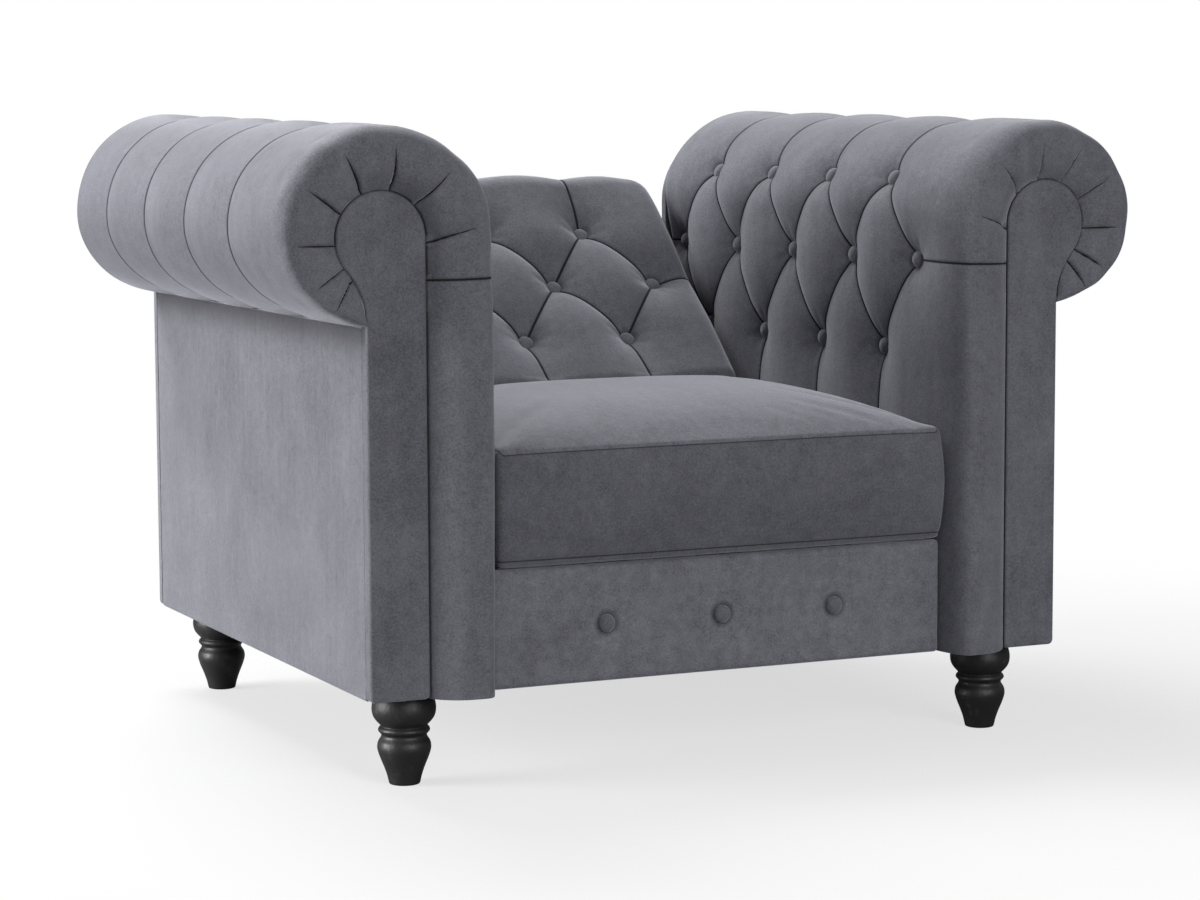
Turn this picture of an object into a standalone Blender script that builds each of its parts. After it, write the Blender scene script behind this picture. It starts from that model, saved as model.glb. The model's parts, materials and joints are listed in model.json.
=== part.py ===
"""Chesterfield armchair with scroll arms, a box seat and a buttoned back that reclines.

Metres, +Z up, the front faces -Y. The chair is drawn with Y = 0 on the arms' front facings and is then moved
so that the middle of its footprint is the origin. Left and right are as seen by someone facing the chair.
Arm outlines are drawn in (u, z), where u is the distance from the middle of the chair.
"""

import math

import bmesh
import bpy
from mathutils import Vector

# Clearances
GAP = 0.0003  # between pieces that touch
PIN_GAP = 0.0003  # round the hinge pins
BOLT_GAP = 0.0003  # round bolts, studs and sunk buttons
PLATE_CLEARANCE = 0.0009  # between the two plates of a hinge
ARM_CLEARANCE = 0.0016  # hinge pins' heads to the arms' padding
SIDE_GAP = 0.0005  # front panel to the arms
CUSHION_SIDE_GAP = 0.0022

# Arms
SEAT_HALF_WIDTH = 0.2955  # middle of the chair to an arm's padded inner face
ARM_DEPTH = 0.812
ARM_RISE = 0.5353  # underside of the upholstery up to the roll's centre
BODY_BOTTOM = 0.1097  # underside of the upholstery, so also the height of the feet
BAND_WIDTH = 0.0865  # padded front band beside the facing
FACING_WIDTH = 0.073
FACING_THICKNESS = 0.0142
FACING_HEAD_RADIUS = 0.0544
FACING_HEAD_DROP = 0.009  # roll's centre down to the centre of the facing's head
NECK_ANGLE = -40.0  # where the facing's neck leaves its round head, degrees
NECK_DROP = 0.091  # facing head's centre down to the foot of the neck
NECK_STEPS = 8
ROLL_RISE = 0.121
ROLL_DROP = 0.110
ROLL_REACH = 0.1234  # roll's centre out to its side
ROLL_END_ANGLE = -83.0  # where the roll ends above the outer panel, degrees
ROLL_STEP = 0.004  # radians, for measuring along the roll
ARM_PAD_THICKNESS = 0.0545
PANEL_THICKNESS = 0.0145
BOARD_THICKNESS = 0.018
BOARD_END_ANGLE = -85.0  # where a frame board's round head ends, degrees
BOARD_STEPS = 18
INNER_BOARD_THICKNESS = 0.012
INNER_BOARD_DROP = 0.044  # centre of the facing's head down to the inner board's top
REAR_PANEL_THICKNESS = 0.015
REAR_PANEL_INSET = 0.010
ROLL_TUBE_WALL = 0.008
ROLL_TUBE_SIDES = 24
BASE_RAIL_HEIGHT = 0.038
BASE_RAIL_LIFT = 0.0023  # above the underside of the upholstery

# Tufting
ARM_TUFT_FRONT = 0.1015  # facings' front to the first button of the middle row
ARM_TUFT_REAR = 0.0455  # last button of the middle row to the rear panel
ARM_COLUMNS = 5  # buttons in the middle row
ARM_ROW = 0.113
ARM_ROW_DROP = 0.055  # roll's centre down to the middle row
ARM_TUFT_DEPTH = 0.026
ROLL_CHANNEL_DEPTH = 0.008
BACK_TUFT_MARGIN = 0.0585  # side of the back to the first button of the middle row
BACK_TOP_MARGIN = 0.126  # top of the back to the top row
BACK_COLUMNS = 4
BACK_TUFT_DEPTH = 0.033
BACK_CHANNEL_DEPTH = 0.014
TOP_CHANNEL_SHARE = 0.35  # how much of a channel's depth carries on over the top of the back
SEAM_SHARE = 0.55  # depth of a seam, as a share of a button's depth
BUTTON_SPREAD = 0.030
CELLS = 6  # mesh cells in one pitch, and between the top and bottom rows
WALL_STATIONS = 6  # mesh cells below the bottom row
ROLL_STATIONS = 11  # mesh cells over the roll
BUTTON_RADIUS = 0.0105
BUTTON_HEIGHT = 0.007
BUTTON_TOP_SHARE = 0.55  # a tuft button's top, as a share of its radius

# Front band and scroll
FRONT_BULGE = 0.025  # how far the front band stands before the facing
BULGE_START = 0.30  # places across the band, as shares of its width from the facing's edge
BULGE_END = 0.66
SHOULDER = 0.93
FRAME_HOLD = 0.15
SHOULDER_SETBACK = 0.0043
BAND_STEPS = 3
SEAM_HALF_WIDTH = 0.020
PLEAT_ANGLES = (141.0, 102.0, 66.0, 29.0, -13.0, -43.0, -62.0)
PLEAT_DEPTH = 0.005
PLEAT_PULL = 0.04  # share of the band's width that a pleat draws in at the roll

# Seat
FRONT_PANEL_Y = 0.0143
FRONT_PANEL_THICKNESS = 0.012
RAIL_THICKNESS = 0.022
RAIL_HEIGHT = 0.1365
RAIL_LIFT = 0.0028  # above the underside of the upholstery
MIDDLE_RAIL_SETBACK = 0.010  # behind the cushion
STRAP_THICKNESS = 0.0016
STRAP_WIDTH = 0.060
SEAT_STRAP_PITCH = 0.150
DUST_COVER_THICKNESS = 0.0012
CUSHION_FRONT = 0.004
CUSHION_DEPTH = 0.474
CUSHION_EDGE = 0.134  # height of the cushion's sides
CUSHION_CROWN = 0.034
CUSHION_DRAW_IN = 0.006
CUSHION_NOSE = 0.006
CUSHION_COLUMNS = 14  # mesh cells across the cushion
CUSHION_ROWS = 12
CUSHION_LEVELS = (0.0, 0.12, 0.5, 0.88, 1.0)
FRONT_BUTTON_PITCH = 0.152
FRONT_BUTTON_LIFT = 0.0683  # above the underside of the upholstery
FRONT_BUTTON_SINK = 0.004

# Back, in its own leaning frame: forward of the hinge axis is -Y, up the back is +Z
HINGE_SETBACK = 0.067  # cushion's rear to the hinge axis
HINGE_RISE = 0.126  # seat rails' top to the hinge axis
REST_LEAN = math.radians(48.0)
BACK_FRONT = 0.055  # hinge axis to the front of the pad
BACK_PAD_REAR = 0.045
BACK_BOTTOM = 0.015  # pad below the hinge axis
BACK_TOP = 0.432
BACK_TOP_COVER = 0.017  # padding over the frame's top
BACK_TOP_ROUND = 0.052
BACK_BOTTOM_ROUND = 0.034
BACK_SIDE_ROUND = 0.034
BACK_SIDE_LINES = (0.45, 0.12, 0.0)  # mesh lines on the rounded sides, as shares of the rounding
BACK_SIDE_GROWTH = 1.5  # how soon the rounding of the sides is full, from the rear forwards
BACK_FRAME_THICKNESS = 0.0282
BACK_RAIL_HEIGHT = 0.045
POST_WIDTH = 0.0355
BACK_STRAP_PITCH = 0.200
BACK_PANEL_THICKNESS = 0.007

# Hinges
PLATE_THICKNESS = 0.0028
PIN_RADIUS = 0.005
PIN_HEAD_RADIUS = 0.009
PIN_HEAD_HEIGHT = 0.0018
LUG_RADIUS = 0.016
LUG_STEPS = 6
BACK_PLATE_LENGTH = 0.120
SEAT_PLATE_WIDTH = 0.060
SEAT_PLATE_OVERLAP = 0.089  # down the side rail

# Feet and fasteners
FOOT_INSET = 0.0657  # outer panel's face in to a foot's axis
FOOT_FRONT_Y = 0.0673
FOOT_REAR_INSET = 0.0656  # rear panel's face in to a foot's axis
FOOT_RADIUS = 0.0375
FOOT_SIDES = 20
STUD_RADIUS = 0.004
STUD_IN_FOOT = 0.035
STUD_IN_RAIL = 0.030
BOLT_RADIUS = 0.004
BOLT_HEAD_RADIUS = 0.0075
BOLT_HEAD_HEIGHT = 0.005
BOLT_IN_ARM = 0.045
BOLT_LIFT = 0.0215  # above the underside of the upholstery
BOLT_FRONT_Y = 0.160
BOLT_REAR_INSET = 0.172
ROUND_SIDES = 12

# Places across the chair that follow from the sizes above
FACING_U = SEAT_HALF_WIDTH + BAND_WIDTH
OUTER_U = FACING_U + FACING_WIDTH
HEAD_U = FACING_U + FACING_HEAD_RADIUS
ROLL_INWARD = HEAD_U - SEAT_HALF_WIDTH
BOARD_U = SEAT_HALF_WIDTH + ARM_PAD_THICKNESS
CORE_RADIUS = HEAD_U - BOARD_U  # hollow of the padding round the scroll's frame
ROLL_HALF_STEP = math.radians((180.0 - ROLL_END_ANGLE) / ROLL_STATIONS / 2)
FRAME_RADIUS = CORE_RADIUS * math.cos(ROLL_HALF_STEP) - GAP  # clear of the hollow's flats
FRAME_OUT_U = OUTER_U - PANEL_THICKNESS - GAP
PLATE_U = SEAT_HALF_WIDTH - ARM_CLEARANCE - PIN_HEAD_HEIGHT - GAP - PLATE_THICKNESS
RAIL_HALF_SPAN = PLATE_U - GAP
BASE_RAIL_U = RAIL_HALF_SPAN + GAP
BACK_HALF_WIDTH = PLATE_U - PLATE_CLEARANCE - PLATE_THICKNESS - GAP
CUSHION_HALF_WIDTH = SEAT_HALF_WIDTH - CUSHION_SIDE_GAP
SCROLL_END_ANGLE = -math.degrees(math.acos((OUTER_U + GAP - HEAD_U) / ROLL_REACH))  # front padding's end

# Heights that follow
ROLL_Z = BODY_BOTTOM + ARM_RISE
FACING_HEAD_Z = ROLL_Z - FACING_HEAD_DROP
INNER_BOARD_TOP = FACING_HEAD_Z - INNER_BOARD_DROP
ARM_MIDDLE_ROW_Z = ROLL_Z - ARM_ROW_DROP
BASE_RAIL_Z = BODY_BOTTOM + BASE_RAIL_LIFT
BASE_RAIL_TOP = BASE_RAIL_Z + BASE_RAIL_HEIGHT
ARM_PAD_BOTTOM = BASE_RAIL_TOP + GAP
RAIL_BOTTOM = BODY_BOTTOM + RAIL_LIFT
RAIL_TOP = RAIL_BOTTOM + RAIL_HEIGHT
STRAP_Z = RAIL_TOP + GAP
CUSHION_Z = STRAP_Z + STRAP_THICKNESS + GAP
FRONT_BUTTON_Z = BODY_BOTTOM + FRONT_BUTTON_LIFT
PIVOT_Z = RAIL_TOP + HINGE_RISE
SEAT_PLATE_BOTTOM = RAIL_TOP - SEAT_PLATE_OVERLAP
BACK_FRAME_TOP = BACK_TOP - BACK_TOP_COVER
BACK_ROW = (BACK_TOP - BACK_TOP_MARGIN) / 3  # the three rows divide the back evenly from the hinge axis up
BACK_MIDDLE_ROW = 2 * BACK_ROW

# Places from front to rear that follow
FRONT_BOARD_Y = FACING_THICKNESS + GAP
FRAME_FRONT_Y = FRONT_BOARD_Y + BOARD_THICKNESS + GAP
REAR_PANEL_Y = ARM_DEPTH - REAR_PANEL_THICKNESS
REAR_BOARD_Y = REAR_PANEL_Y - GAP - BOARD_THICKNESS
FRAME_REAR_Y = REAR_BOARD_Y - GAP
ARM_PITCH = (REAR_PANEL_Y - ARM_TUFT_REAR - ARM_TUFT_FRONT) / (ARM_COLUMNS - 1)
BACK_PITCH = 2 * (BACK_HALF_WIDTH - BACK_TUFT_MARGIN) / (BACK_COLUMNS - 1)
FRONT_RAIL_Y = FRONT_PANEL_Y + FRONT_PANEL_THICKNESS + GAP
SIDE_RAIL_Y = FRONT_RAIL_Y + RAIL_THICKNESS + GAP
REAR_RAIL_Y = FRAME_REAR_Y - RAIL_THICKNESS
CUSHION_REAR = CUSHION_FRONT + CUSHION_DEPTH
MIDDLE_RAIL_Y = CUSHION_REAR + MIDDLE_RAIL_SETBACK
FRONT_BUTTON_SEAT_Y = FRONT_PANEL_Y + FRONT_BUTTON_SINK
PIVOT_Y = CUSHION_REAR + HINGE_SETBACK
BACK_STRAP_Y = BACK_PAD_REAR + GAP
BACK_FRAME_Y = BACK_STRAP_Y + STRAP_THICKNESS + GAP
BACK_PANEL_Y = BACK_FRAME_Y + BACK_FRAME_THICKNESS + GAP
BACK_REAR = BACK_PANEL_Y + BACK_PANEL_THICKNESS
FOOT_PLACES = (("front", FOOT_FRONT_Y), ("rear", ARM_DEPTH - FOOT_REAR_INSET))
BOLT_PLACES = (("front", BOLT_FRONT_Y), ("rear", ARM_DEPTH - BOLT_REAR_INSET))
SIDES = (("left", -1), ("right", 1))


def clear_scene():
    for obj in list(bpy.data.objects):
        bpy.data.objects.remove(obj, do_unlink=True)


def finish(name, colour, roughness, metallic=0.0):
    """A plain Principled material."""
    material = bpy.data.materials.new(name)
    material.use_nodes = True
    shader = material.node_tree.nodes["Principled BSDF"]
    shader.inputs["Base Color"].default_value = (*colour, 1.0)
    shader.inputs["Roughness"].default_value = roughness
    shader.inputs["Metallic"].default_value = metallic
    return material


def piece(name, mesh_builder, material, parent):
    """One named object from a closed bmesh, with its faces turned outwards."""
    bmesh.ops.recalc_face_normals(mesh_builder, faces=mesh_builder.faces)
    mesh = bpy.data.meshes.new(name)
    mesh_builder.to_mesh(mesh)
    mesh_builder.free()
    mesh.materials.append(material)
    obj = bpy.data.objects.new(name, mesh)
    bpy.context.scene.collection.objects.link(obj)
    obj.parent = parent
    return obj


def smooth(obj, angle=35.0):
    obj.data.shade_smooth()
    obj.data.set_sharp_from_angle(angle=math.radians(angle))


def box(name, low, high, material, parent):
    """A plain board or rail between two corners."""
    builder = bmesh.new()
    bmesh.ops.create_cube(builder, size=1.0)
    for vertex in builder.verts:
        for axis in range(3):
            vertex.co[axis] = low[axis] if vertex.co[axis] < 0 else high[axis]
    return piece(name, builder, material, parent)


def prism(name, outline, start, length, axis, material, parent):
    """An outline drawn across an axis and extruded along it: (y, z) points for X, (x, z) points for Y."""
    builder = bmesh.new()
    if axis == "X":
        corners = [builder.verts.new((start, a, b)) for a, b in outline]
        step = Vector((length, 0, 0))
    else:
        corners = [builder.verts.new((a, start, b)) for a, b in outline]
        step = Vector((0, length, 0))
    face = builder.faces.new(corners)
    grown = bmesh.ops.extrude_face_region(builder, geom=[face])["geom"]
    moved = [item for item in grown if isinstance(item, bmesh.types.BMVert)]
    bmesh.ops.translate(builder, vec=step, verts=moved)
    return piece(name, builder, material, parent)


def turned(name, profile, sides, axis, origin, material, parent):
    """A solid of revolution from (radius, height) points, with its height along the axis."""
    builder = bmesh.new()
    along = Vector(axis)
    across = along.orthogonal().normalized()
    points = [builder.verts.new(across * radius + along * height) for radius, height in profile]
    edges = [builder.edges.new(pair) for pair in zip(points, points[1:])]
    bmesh.ops.spin(
        builder, geom=points + edges, cent=(0, 0, 0), axis=along, angle=math.tau, steps=sides,
        use_merge=True
    )
    bmesh.ops.remove_doubles(builder, verts=builder.verts, dist=1e-6)
    open_edges = [edge for edge in builder.edges if edge.is_boundary]
    bmesh.ops.holes_fill(builder, edges=open_edges, sides=0)
    bmesh.ops.translate(builder, vec=Vector(origin), verts=builder.verts)
    return piece(name, builder, material, parent)


def rod(name, radius, start, length, axis, material, parent, sides=ROUND_SIDES):
    return turned(name, [(radius, 0.0), (radius, length)], sides, axis, start, material, parent)


def combine(obj, tool, operation):
    """Cuts a helper from an object, or joins it on. The helper itself isn't part of the chair."""
    tool.hide_render = True
    tool.display_type = "WIRE"
    modifier = obj.modifiers.new(operation.lower() + "_" + tool.name, "BOOLEAN")
    modifier.operation = operation
    modifier.object = tool
    modifier.solver = "EXACT"


def drill(obj, radius, start, length, axis, parent):
    """A round hole."""
    tool = rod("hole_in_" + obj.name, radius, start, length, axis, obj.data.materials[0], parent)
    combine(obj, tool, "DIFFERENCE")


def mix(a, b, share):
    return a + (b - a) * share


def lerp_point(a, b, share):
    return (mix(a[0], b[0], share), mix(a[1], b[1], share))


def spaced(start, end, steps):
    return [mix(start, end, step / steps) for step in range(steps + 1)]


def polar(centre, radius, angle):
    return (centre[0] + radius * math.cos(angle), centre[1] + radius * math.sin(angle))


def direction(angle):
    return Vector((math.cos(angle), math.sin(angle)))


def degrees_between(start, end, steps):
    return [math.radians(angle) for angle in spaced(start, end, steps)]


def roll_point(angle, inset=0.0):
    """The scroll's outline: wider towards the seat, flatter underneath."""
    reach = ROLL_INWARD if math.cos(angle) < 0 else ROLL_REACH
    rise = ROLL_RISE if math.sin(angle) > 0 else ROLL_DROP
    return (HEAD_U + (reach - inset) * math.cos(angle), ROLL_Z + (rise - inset) * math.sin(angle))


def roll_normal(angle):
    reach = ROLL_INWARD if math.cos(angle) < 0 else ROLL_REACH
    rise = ROLL_RISE if math.sin(angle) > 0 else ROLL_DROP
    return Vector((math.cos(angle) / reach, math.sin(angle) / rise)).normalized()


def core_point(angle):
    return polar((HEAD_U, FACING_HEAD_Z), CORE_RADIUS, angle)


def neck_points(steps):
    """The facing's concave neck, from its round head down to its straight outer edge."""
    start = polar((HEAD_U, FACING_HEAD_Z), FACING_HEAD_RADIUS, math.radians(NECK_ANGLE))
    end = (OUTER_U, FACING_HEAD_Z - NECK_DROP)
    run = (start[0] - OUTER_U) / math.sin(math.radians(-NECK_ANGLE))
    bend = (OUTER_U, start[1] - run * math.cos(math.radians(NECK_ANGLE)))
    points = []
    for step in range(steps + 1):
        share = step / steps
        points.append(lerp_point(lerp_point(start, bend, share), lerp_point(bend, end, share), share))
    return points


def facing_edge(angle, clearance=0.0):
    """The point of the facing's edge that faces an angle of the scroll."""
    neck_start = math.radians(NECK_ANGLE)
    if angle >= neck_start:
        return polar((HEAD_U, FACING_HEAD_Z), FACING_HEAD_RADIUS + clearance, angle)
    share = (neck_start - angle) / (neck_start - math.radians(SCROLL_END_ANGLE))
    points = neck_points(NECK_STEPS)
    place = min(share * NECK_STEPS, NECK_STEPS - 1e-6)
    first, second = points[int(place)], points[int(place) + 1]
    return (mix(first[0], second[0], place % 1) + clearance, mix(first[1], second[1], place % 1))


def scroll_stations():
    """Angles round the scroll's front, each with 1 where a pleat lies and 0 between pleats."""
    turns = [180.0, *PLEAT_ANGLES, SCROLL_END_ANGLE]
    stations = []
    for start, end in zip(turns, turns[1:]):
        stations += [(start, float(start in PLEAT_ANGLES)), ((start + end) / 2, 0.0)]
    return [(math.radians(angle), pleat) for angle, pleat in [*stations, (SCROLL_END_ANGLE, 0.0)]]


def board_outline():
    """The arm's frame board: a straight strip with a round head."""
    centre = (HEAD_U, FACING_HEAD_Z)
    arc = [polar(centre, FRAME_RADIUS, a) for a in degrees_between(180, BOARD_END_ANGLE, BOARD_STEPS)]
    strip = [(BOARD_U + GAP, BASE_RAIL_Z), (BOARD_U + GAP, INNER_BOARD_TOP)]
    return [*strip, *arc, (FRAME_OUT_U, arc[-1][1]), (FRAME_OUT_U, BASE_RAIL_Z)]


def facing_outline():
    edge = [facing_edge(angle) for angle, _ in scroll_stations()]
    return [(FACING_U, BODY_BOTTOM), *edge, (OUTER_U, BODY_BOTTOM)]


def rear_outline():
    """The plain panel that closes the arm's rear end, a little smaller than the padding."""
    turns = degrees_between(180, ROLL_END_ANGLE, BOARD_STEPS)
    arc = [roll_point(angle, REAR_PANEL_INSET) for angle in turns]
    inner = SEAT_HALF_WIDTH + REAR_PANEL_INSET
    return [(inner, BODY_BOTTOM), *arc, (OUTER_U, arc[-1][1]), (OUTER_U, BODY_BOTTOM)]


def sided(outline, side):
    return [(side * a, b) for a, b in outline]


class Tufting:
    """Diamond buttoning: three rows, the middle one set off by half a pitch, and channels beyond them."""

    def __init__(self, first, columns, pitch, middle, row):
        self.first = first
        self.columns = columns
        self.pitch = pitch
        self.middle = middle
        self.row = row

    def buttons(self):
        found = [(self.first + k * self.pitch, self.middle) for k in range(self.columns)]
        for k in range(self.columns - 1):
            across = self.first + (k + 0.5) * self.pitch
            found += [(across, self.middle - self.row), (across, self.middle + self.row)]
        return found

    def fullness(self, across, along):
        """0 in a seam, 1 on top of a pillow."""
        step = (across - self.first) / self.pitch
        rise = (along - self.middle) / self.row
        if step < 0 or step > self.columns - 1:
            return abs(math.sin(math.pi / 2 * max(-1.0, min(1.0, rise)))) ** 0.6
        if abs(rise) >= 1:
            return abs(math.cos(math.pi * step)) ** 0.7
        seams = math.sin(math.pi * (step + rise / 2)) * math.sin(math.pi * (step - rise / 2))
        return math.sqrt(abs(seams))

    def depth(self, across, along, deep, channel):
        """How far the cover is drawn in, below the tops of the pillows."""
        rise = abs(along - self.middle) / self.row
        fade = max(0.0, min(1.0, rise - 1.0))
        full = mix(deep, channel, fade)
        near = min(math.dist((across, along), button) for button in self.buttons())
        pull = math.exp(-((near / BUTTON_SPREAD) ** 2))
        return full * (SEAM_SHARE * (1 - self.fullness(across, along)) + (1 - SEAM_SHARE) * pull)


def quilt(builder, rows, depths):
    """Faces over a grid of vertices, split along the seams that cross it."""
    for i in range(len(rows) - 1):
        for j in range(len(rows[i]) - 1):
            a, b, c, d = rows[i][j], rows[i][j + 1], rows[i + 1][j + 1], rows[i + 1][j]
            if depths[i][j] + depths[i + 1][j + 1] > depths[i][j + 1] + depths[i + 1][j]:
                builder.faces.new((a, b, c))
                builder.faces.new((a, c, d))
            else:
                builder.faces.new((a, b, d))
                builder.faces.new((b, c, d))


def tuft_buttons(name, places, material, parent):
    """Low covered buttons, ready to join to a pad. Each place is a point and the way the button faces."""
    builder = bmesh.new()
    for point, facing in places:
        turn = Vector((0, 0, 1)).rotation_difference(facing).to_matrix().to_4x4()
        turn.translation = point
        bmesh.ops.create_cone(
            builder, cap_ends=True, segments=CELLS, radius1=BUTTON_RADIUS,
            radius2=BUTTON_RADIUS * BUTTON_TOP_SHARE, depth=2 * BUTTON_HEIGHT, matrix=turn
        )
    return piece(name, builder, material, parent)


def arm_tufting():
    return Tufting(ARM_TUFT_FRONT, ARM_COLUMNS, ARM_PITCH, ARM_MIDDLE_ROW_Z, ARM_ROW)


def arm_station(height):
    """A place on the arm's section: outline point, outward normal and the point of the frame behind it.

    Height is Z on the upright wall, and carries on as the distance along the roll above it.
    """
    if height <= ROLL_Z:
        behind = (BOARD_U - GAP, height)
        if height > FACING_HEAD_Z:
            behind = core_point(math.pi)
        return (SEAT_HALF_WIDTH, height), Vector((-1, 0)), behind
    angle = roll_angle(height - ROLL_Z)
    return roll_point(angle), roll_normal(angle), core_point(angle)


def roll_angle(travel):
    """The scroll's angle at a distance along its outline from the top of the upright wall."""
    angle = math.pi
    point = roll_point(angle)
    while travel > 0:
        angle -= ROLL_STEP
        following = roll_point(angle)
        travel -= math.dist(point, following)
        point = following
    return angle


def roll_length():
    steps = round(math.radians(180 - ROLL_END_ANGLE) / ROLL_STEP)
    points = [roll_point(angle) for angle in degrees_between(180, ROLL_END_ANGLE, steps)]
    return sum(math.dist(a, b) for a, b in zip(points, points[1:]))


def arm_heights(tufting):
    """Stations up the wall, through the three button rows and on over the roll."""
    low = tufting.middle - tufting.row
    high = tufting.middle + tufting.row
    end = ROLL_Z + roll_length()
    wall = spaced(ARM_PAD_BOTTOM, low, WALL_STATIONS)
    return wall + spaced(low, high, CELLS)[1:] + spaced(high, end, ROLL_STATIONS)[1:]


def tuft_lines(tufting, start, end):
    """Mesh lines across a pad, on the button columns and evenly between them, with the pad's two ends."""
    step = tufting.pitch / CELLS
    lines = []
    place = tufting.first
    while place > start + step / 2:
        place -= step
    place += step
    while place < end - step / 2:
        lines.append(place)
        place += step
    return [start, *lines, end]


def arm_pad(side, word, material, parent):
    """The buttoned padding: up the inside of the arm, over the scroll and down to the outer panel."""
    tufting = arm_tufting()
    builder = bmesh.new()
    lines = tuft_lines(tufting, FRAME_FRONT_Y, REAR_PANEL_Y - GAP)
    outer, depths, front, rear = [], [], [], []
    for height in arm_heights(tufting):
        point, normal, behind = arm_station(height)
        drawn = [tufting.depth(y, height, ARM_TUFT_DEPTH, ROLL_CHANNEL_DEPTH) for y in lines]
        depths.append(drawn)
        row = [(point[0] - normal[0] * d, y, point[1] - normal[1] * d) for y, d in zip(lines, drawn)]
        outer.append([builder.verts.new((side * x, y, z)) for x, y, z in row])
        front.append(builder.verts.new((side * behind[0], lines[0], behind[1])))
        rear.append(builder.verts.new((side * behind[0], lines[-1], behind[1])))
    quilt(builder, outer, depths)
    for i in range(len(outer) - 1):
        builder.faces.new((front[i], front[i + 1], rear[i + 1], rear[i]))
        builder.faces.new((front[i], outer[i][0], outer[i + 1][0], front[i + 1]))
        builder.faces.new((rear[i], rear[i + 1], outer[i + 1][-1], outer[i][-1]))
    builder.faces.new([*outer[0], rear[0], front[0]])
    builder.faces.new([*outer[-1], rear[-1], front[-1]])
    pad = piece(f"arm_{word}_pad", builder, material, parent)
    places = []
    for y, height in tufting.buttons():
        point, normal, _ = arm_station(height)
        facing = Vector((side * normal[0], 0, normal[1]))
        seat = Vector((side * point[0], y, point[1])) - facing * ARM_TUFT_DEPTH
        places.append((seat, facing))
    combine(pad, tuft_buttons(f"arm_{word}_buttons", places, material, parent), "UNION")
    smooth(pad)
    return pad


def front_pad_stations():
    """Stations of the front padding: facing edge, frame edge, outline, and 1 at a seam or pleat."""
    stations = []
    seam = ARM_MIDDLE_ROW_Z
    upright = [(z, 0) for z in spaced(BODY_BOTTOM, seam - SEAM_HALF_WIDTH, BAND_STEPS)]
    for z, drawn in [*upright, (seam, 1), (seam + SEAM_HALF_WIDTH, 0)]:
        stations.append(((FACING_U - GAP, z), (BOARD_U - GAP, z), (SEAT_HALF_WIDTH, z), drawn))
    for angle, pleat in scroll_stations():
        edge, outline = facing_edge(angle, GAP), roll_point(angle)
        behind = [core_point(angle), lerp_point(edge, outline, FRAME_HOLD)]
        frame = max(behind, key=lambda point: math.dist(point, (HEAD_U, FACING_HEAD_Z)))
        stations.append((edge, frame, outline, pleat))
    return stations


def front_pad(side, word, material, parent):
    """The padding before the arm's front board: the upright band and the pleated ring round the scroll."""
    builder = bmesh.new()
    rings = []
    for edge, frame, outline, drawn in front_pad_stations():
        width = math.dist(edge, outline)
        bulge = FRONT_BULGE * min(1.0, width / BAND_WIDTH) - PLEAT_DEPTH * drawn
        section = [
            (edge, FACING_THICKNESS),
            (edge, -GAP),
            (lerp_point(edge, outline, BULGE_START), -bulge),
            (lerp_point(edge, outline, BULGE_END), -bulge),
            (lerp_point(edge, outline, SHOULDER), SHOULDER_SETBACK + PLEAT_DEPTH * drawn),
            (lerp_point(edge, outline, 1.0 - PLEAT_PULL * drawn), FRAME_FRONT_Y - GAP),
            (frame, FRAME_FRONT_Y - GAP),
            (frame, FACING_THICKNESS),
        ]
        rings.append([builder.verts.new((side * p[0], y, p[1])) for p, y in section])
    for first, second in zip(rings, rings[1:]):
        for k in range(len(first)):
            following = (k + 1) % len(first)
            builder.faces.new((first[k], first[following], second[following], second[k]))
    builder.faces.new(rings[0])
    builder.faces.new(rings[-1])
    pad = piece(f"arm_{word}_front_pad", builder, material, parent)
    smooth(pad)
    return pad


def roll_core(side, word, material, parent):
    """A wound card tube inside the scroll, held between the two frame boards."""
    outer = FRAME_RADIUS
    inner = outer - ROLL_TUBE_WALL
    length = FRAME_REAR_Y - FRAME_FRONT_Y
    start = (side * HEAD_U, FRAME_FRONT_Y, FACING_HEAD_Z)
    name = f"arm_{word}_roll_core"
    core = rod(name, outer, start, length, (0, 1, 0), material, parent, ROLL_TUBE_SIDES)
    mouth = (start[0], start[1] - BOARD_THICKNESS, start[2])
    through = length + 2 * BOARD_THICKNESS
    bore = rod("bore_of_" + name, inner, mouth, through, (0, 1, 0), material, parent, ROLL_TUBE_SIDES)
    combine(core, bore, "DIFFERENCE")
    smooth(core)
    return core


def base_rail(side, word, material, parent):
    """The arm's bottom rail: it takes the feet's studs from below and the seat's bolts from the side."""
    near, far = sorted((side * BASE_RAIL_U, side * FRAME_OUT_U))
    low = (near, FRAME_FRONT_Y, BASE_RAIL_Z)
    rail = box(f"arm_{word}_base_rail", low, (far, FRAME_REAR_Y, BASE_RAIL_TOP), material, parent)
    for _, y in FOOT_PLACES:
        start = (side * (OUTER_U - FOOT_INSET), y, BODY_BOTTOM - BOARD_THICKNESS)
        reach = BOARD_THICKNESS + STUD_IN_RAIL + BOLT_GAP
        drill(rail, STUD_RADIUS + BOLT_GAP, start, reach, (0, 0, 1), parent)
    for _, y in BOLT_PLACES:
        start = (side * (BASE_RAIL_U - RAIL_THICKNESS), y, BODY_BOTTOM + BOLT_LIFT)
        reach = RAIL_THICKNESS + BOLT_IN_ARM + BOLT_GAP
        drill(rail, BOLT_RADIUS + BOLT_GAP, start, reach, (side, 0, 0), parent)
    return rail


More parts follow.
